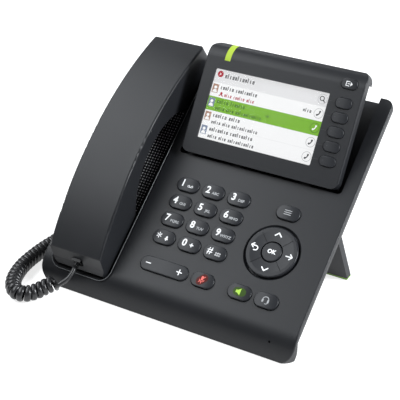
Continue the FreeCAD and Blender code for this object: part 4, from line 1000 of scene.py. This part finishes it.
@dataclass
class Perforations:
    """Rows of small studs over the loudspeaker's plate."""

    pitch: float = 2.4 * MM
    radius: float = 0.58 * MM
    height: float = 0.12 * MM
    edge: float = 1.6 * MM

    def build(self) -> None:
        """Cover the plate with its pattern."""
        low, high = PANEL.span("speaker_grille")
        columns = int((high.x - low.x - 2 * self.edge) / self.pitch)
        rows = int((high.y - low.y - 2 * self.edge) / self.pitch)
        tree = Tree("perforations", {
            "Columns": columns, "Rows": rows, "Width": (columns - 1) * self.pitch,
            "Length": (rows - 1) * self.pitch, "Radius": self.radius, "Height": self.height,
            "Finish": Paints.get(Plastic("grille_stud", (0.34, 0.34, 0.35), 0.4))})
        grid = tree.node("GeometryNodeMeshGrid", Size_X=tree.size("Width"), Size_Y=tree.size("Length"),
                         Vertices_X=tree.size("Columns"), Vertices_Y=tree.size("Rows"))
        stud = tree.node("GeometryNodeMeshCylinder", Vertices=8, Radius=tree.size("Radius"),
                         Depth=tree.size("Height"))
        tree.close(grid.outputs[0], stud.outputs[0])
        mesh = tree.mesh("grille_studs")
        middle = (low + high) / 2
        mesh.transform(PANEL.matrix(middle.x, middle.y, high.z + self.height / 2))
        add_piece("grille_studs", mesh, "base")


@dataclass
class SocketContacts:
    """Gilt contact wires in the network and headset sockets."""

    pitch: float = 1.02 * MM
    wire: float = 0.35 * MM
    length: float = 7.0 * MM
    rear_depth: float = 3.0 * MM
    side_depth: float = 2.0 * MM
    roof: float = 2.5 * MM

    def build(self) -> None:
        """Put a row of contacts into each open socket."""
        tree = Tree("contacts", {
            "Count": 0, "Pitch": self.pitch, "Wire": self.wire, "Length": self.length,
            "Finish": Paints.get(Metal("gilt_contact", (0.75, 0.55, 0.22), 0.25))})
        step = tree.node("ShaderNodeCombineXYZ", X=tree.size("Pitch"))
        line = tree.node("GeometryNodeMeshLine", Count=tree.size("Count"), Offset=step.outputs[0])
        wire = tree.size("Wire")
        size = tree.node("ShaderNodeCombineXYZ", X=wire, Y=tree.size("Length"), Z=wire)
        pin = tree.node("GeometryNodeMeshCube", Size=size.outputs[0])
        tree.close(line.outputs[0], pin.outputs[0])
        for node, count in (("lan_jack", 8), ("pc_jack", 8), ("headset_jack", 4)):
            low, high = PANEL.span(node)
            mesh = tree.mesh(node + "_contacts", Count=count)
            row = self.pitch * (count - 1) / 2
            if node == "headset_jack":
                mesh.transform(Matrix.Rotation(math.radians(90), 4, "Z"))
                x, y = low.x + self.side_depth + self.length / 2, (low.y + high.y) / 2 - row
            else:
                x, y = (low.x + high.x) / 2 - row, high.y - self.rear_depth - self.length / 2
            mesh.transform(PANEL.matrix(x, y, high.z - self.roof))
            add_piece(mesh.name, mesh, "base")


@dataclass
class CurlyCord:
    """Curly handset cord: a lead, a coil laid on the table and a tail up to its socket."""

    wire: float = 3.5 * MM
    thin: float = 2.9 * MM
    widths: tuple[float, float] = (2.0 * MM, 5.0 * MM)
    fill: float = 0.92
    sides: int = 14
    coil_radius: float = 4.9 * MM
    gap: float = 0.95 * MM
    start_angle: float = 30.0
    reach: float = 7.0 * MM
    steps_per_turn: int = 20
    front: float = -0.08555
    coil: tuple[Point3, ...] = (
        (-0.0856, -0.0116, 0.0129), (-0.0912, -0.0166, 0.0098), (-0.0960, -0.0230, 0.0074),
        (-0.1020, -0.0295, 0.0070), (-0.1110, -0.0290, 0.0070), (-0.1195, -0.0200, 0.0070),
        (-0.1245, -0.0080, 0.0070), (-0.1272, 0.0040, 0.0070), (-0.1278, 0.0180, 0.0070),
        (-0.1275, 0.0330, 0.0070), (-0.1250, 0.0500, 0.0070), (-0.1215, 0.0660, 0.0076),
        (-0.1205, 0.0800, 0.0140), (-0.1205, 0.0910, 0.0270), (-0.1210, 0.0985, 0.0400),
        (-0.1215, 0.1030, 0.0500),
    )
    tail: tuple[Point3, ...] = ((-0.1205, 0.1085, 0.0650),)

    def row(self, point: Sequence[float]) -> Vector:
        """Row-frame point of a route point, which is given from the front lip and the table."""
        return Vector((point[0], point[1] + self.front, point[2]))

    @staticmethod
    def spline(points: Sequence[Vector], resolution: int) -> list[Vector]:
        """Points along the smooth curve that has these control points."""
        curve = curve_through("route", "NURBS", points)
        line = curve.splines[0]
        line.order_u = 3
        line.use_endpoint_u = True
        line.resolution_u = resolution
        mesh = plain_mesh(show("route", curve), "route")
        line_points = [v.co.copy() for v in mesh.vertices]
        bpy.data.meshes.remove(mesh)
        return line_points

    def helix(self) -> tuple[list[Vector], list[Vector], list[float]]:
        """Wind the wire along the coil. Its turns are pressed narrow on the inside of a bend.

        Returns:
            The middle of the wire, the way out from the coil's middle and the width of the turn there.
        """
        axis = self.spline([self.row(p) for p in self.coil], 80)
        ways = [(b - a).normalized() for a, b in zip(axis, axis[1:])]
        ways.append(ways[-1])
        side = ways[0].cross(Vector((0, 0, -1)))
        turns, points, rings, wide, due = 0.0, [], [], [], 0.0
        pitch = self.wire + self.gap
        for index, (point, along) in enumerate(zip(axis, ways)):
            side = (side - along * side.dot(along)).normalized()
            if index:
                turns += (point - axis[index - 1]).length / pitch
            if turns >= due or index == len(axis) - 1:
                angle = math.radians(self.start_angle) + 2 * math.pi * turns
                ring = side * math.cos(angle) + side.cross(along) * math.sin(angle)
                points.append(point + ring * self.coil_radius)
                rings.append(ring)
                low, high = max(index - 12, 0), min(index + 12, len(axis) - 1)
                bend = (ways[high] - ways[low]) / (axis[high] - axis[low]).length
                room = pitch * (1 - self.coil_radius * ring.dot(bend)) * self.fill
                wide.append(min(max(room, self.widths[0]), self.widths[1]))
                due += 1 / self.steps_per_turn
        return points, rings, wide

    def line(self) -> tuple[list[Vector], list[Vector], list[float], list[float]]:
        """Follow the whole wire, from the handset's plug to the housing's plug.

        Returns:
            The middle of the wire, the way out from the coil, and the wire's thickness and width.
        """
        low, high = PANEL.span("handset_plug")
        middle = (low + high) / 2
        handset_end = PANEL.point(middle.x, low.y, middle.z)
        first = handset_end - PANEL.up * self.wire
        low, high = PANEL.span("base_plug")
        middle = (low + high) / 2
        base_end = PANEL.point(low.x, middle.y, middle.z)
        last = base_end - PANEL.across * self.wire
        turns, rings, wide = self.helix()
        enter = (turns[1] - turns[0]).normalized()
        leave = (turns[-1] - turns[-2]).normalized()
        lead = [first, first - PANEL.up * self.reach, turns[0] - enter * self.reach, turns[0]]
        tail = [turns[-1], turns[-1] + leave * self.reach, *[self.row(p) for p in self.tail],
                last - PANEL.across * self.reach, last]
        lead_line = self.spline(lead, 12)
        tail_line = self.spline(tail, 12)
        before = [handset_end, *lead_line[:-1]]
        after = [*tail_line[1:], base_end]
        outward = [rings[0]] * len(before) + rings + [rings[-1]] * len(after)
        end = len(turns) - 1
        flat = [min(1.0, i / self.steps_per_turn, (end - i) / self.steps_per_turn) for i in range(end + 1)]
        round_lead, round_tail = [self.wire] * len(before), [self.wire] * len(after)
        thicks = [self.wire + (self.thin - self.wire) * part for part in flat]
        wides = [self.wire + (width - self.wire) * part for width, part in zip(wide, flat)]
        return (before + turns + after, outward, round_lead + thicks + round_tail,
                round_lead + wides + round_tail)

    def tube(self, points: Sequence[Vector], outward: Sequence[Vector], thicks: Sequence[float],
             wides: Sequence[float]) -> bpy.types.Mesh:
        """Sweep the wire's section: round in the leads and a flat band in the coil.

        Args:
            points: Middle of the wire.
            outward: Way out from the coil at each point.
            thicks: Size of the section out from the coil.
            wides: Size of the section along the coil.

        Returns:
            The closed tube.
        """
        sections = []
        for index, point in enumerate(points):
            along = points[min(index + 1, len(points) - 1)] - points[max(index - 1, 0)]
            along.normalize()
            radial = (outward[index] - along * outward[index].dot(along)).normalized()
            across = along.cross(radial)
            thick, wide = radial * (thicks[index] / 2), across * (wides[index] / 2)
            turn = [2 * math.pi * i / self.sides for i in range(self.sides)]
            sections.append([point + thick * math.cos(a) + wide * math.sin(a) for a in turn])
        mesh = bpy.data.meshes.new("handset_cord")
        faces = [tuple(reversed(range(self.sides)))]
        for ring in range(len(sections) - 1):
            here, there = ring * self.sides, (ring + 1) * self.sides
            for i in range(self.sides):
                j = (i + 1) % self.sides
                faces.append((here + i, here + j, there + j, there + i))
        end = (len(sections) - 1) * self.sides
        faces.append(tuple(end + i for i in range(self.sides)))
        mesh.from_pydata([v for section in sections for v in section], [], faces)
        mesh.update()
        return mesh

    def build(self) -> bpy.types.Object:
        """Make the cord's tube.

        Returns:
            The cord's tube, from the handset to the base.
        """
        points, outward, thicks, wides = self.line()
        mesh = self.tube(points, outward, thicks, wides)
        for face in mesh.polygons:
            face.use_smooth = True
        cord = show("handset_cord", mesh)
        mesh.materials.append(Paints.get(FINISHES["cord"]))
        length = sum((b - a).length for a, b in zip(points, points[1:]))
        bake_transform(cord)
        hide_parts("curly_cord")
        LOG.info("handset_cord: %.0f mm of wire, %d faces", length / MM, len(mesh.polygons))
        return cord


@dataclass(frozen=True)
class Lamp:
    """A soft studio lamp."""

    name: str
    place: Point3
    aim: Point3
    width: float
    height: float
    watts: float
    tint: Colour = (0.94, 0.97, 1.0)

    def build(self) -> None:
        """Hang the lamp."""
        light = bpy.data.lights.new(self.name, "AREA")
        light.shape = "RECTANGLE"
        light.size = self.width
        light.size_y = self.height
        light.energy = self.watts
        light.color = self.tint
        aimed(show(self.name, light), self.place, self.aim)


@dataclass
class Studio:
    """White floor, soft lamps and the photograph's camera."""

    eye: Point3 = (0.3509, -0.63505, 0.47741)
    aim: Point3 = (-0.00453, -0.01814, 0.06855)
    focal_pixels: float = 1093.0
    frame_pixels: float = 400.0
    sensor: float = 36.0
    floor_half: float = 30.0
    floor_grey: Colour = (0.5, 0.5, 0.5)
    floor_glow: Colour = (0.77, 0.77, 0.77)
    sky: float = 0.12
    lamps: tuple[Lamp, ...] = (
        Lamp("key_lamp", (-0.9, -0.35, 1.3), (0, 0, 0.05), 2.0, 0.8, 30.0),
        Lamp("back_lamp", (-0.8, 1.3, 0.95), (0, 0, 0.1), 0.5, 0.4, 2.5),
        Lamp("edge_lamp", (1.35, 0.12, 0.88), (0, 0, 0.08), 0.4, 0.8, 44.0),
    )

    def build(self) -> None:
        """Set up the camera, the floor and the light."""
        scene = bpy.context.scene
        scene.view_settings.view_transform = "Standard"
        lens = bpy.data.cameras.new("camera")
        lens.sensor_width = self.sensor
        lens.lens = self.focal_pixels / self.frame_pixels * self.sensor
        scene.camera = show("camera", lens)
        aimed(scene.camera, self.eye, self.aim)
        self.floor()
        self.world()
        for lamp in self.lamps:
            lamp.build()

    @staticmethod
    def seen(tree: bpy.types.NodeTree) -> Value:
        """One for rays that show the background itself or its mirror image."""
        path = tree.nodes.new("ShaderNodeLightPath")
        camera, glossy, through = (Value(tree, path.outputs[name]) for name in
                                   ("Is Camera Ray", "Is Glossy Ray", "Is Transmission Ray"))
        return (camera + glossy + through) > 0.5

    def floor(self) -> None:
        """Lay the white floor."""
        mesh = bpy.data.meshes.new("floor")
        half = self.floor_half
        corners = [(-half, -half, 0), (half, -half, 0), (half, half, 0), (-half, half, 0)]
        mesh.from_pydata(corners, [], [(0, 1, 2, 3)])
        floor = show("floor", mesh)
        s = Surface("floor_white")
        s.feed("Base Color", (*self.floor_grey, 1.0))
        s.feed("Roughness", 0.9)
        s.feed("Emission Color", s.blend(self.seen(s.tree), (0.0, 0.0, 0.0), self.floor_glow))
        s.feed("Emission Strength", 1.0)
        mesh.materials.append(s.material)

    def world(self) -> None:
        """Fill the room with soft light."""
        world = bpy.data.worlds.new("studio")
        world.use_nodes = True
        background = world.node_tree.nodes["Background"]
        background.inputs["Color"].default_value = (1.0, 1.0, 1.0, 1.0)
        background.inputs["Strength"].default_value = self.sky
        bpy.context.scene.world = world


def main() -> None:
    """Build the phone's looks and its studio."""
    logging.basicConfig(level=logging.INFO, format="%(name)s: %(message)s")
    Studio().build()
    CurlyCord().build()
    Shells().dress()
    keys = Keys()
    keys.dial()
    keys.functions()
    NavigationKey().build()
    ScreenPicture().build()
    BezelMarks().build()
    CradleHighlightBead().build()
    Perforations().build()
    SocketContacts().build()


if __name__ == "__main__":
    main()
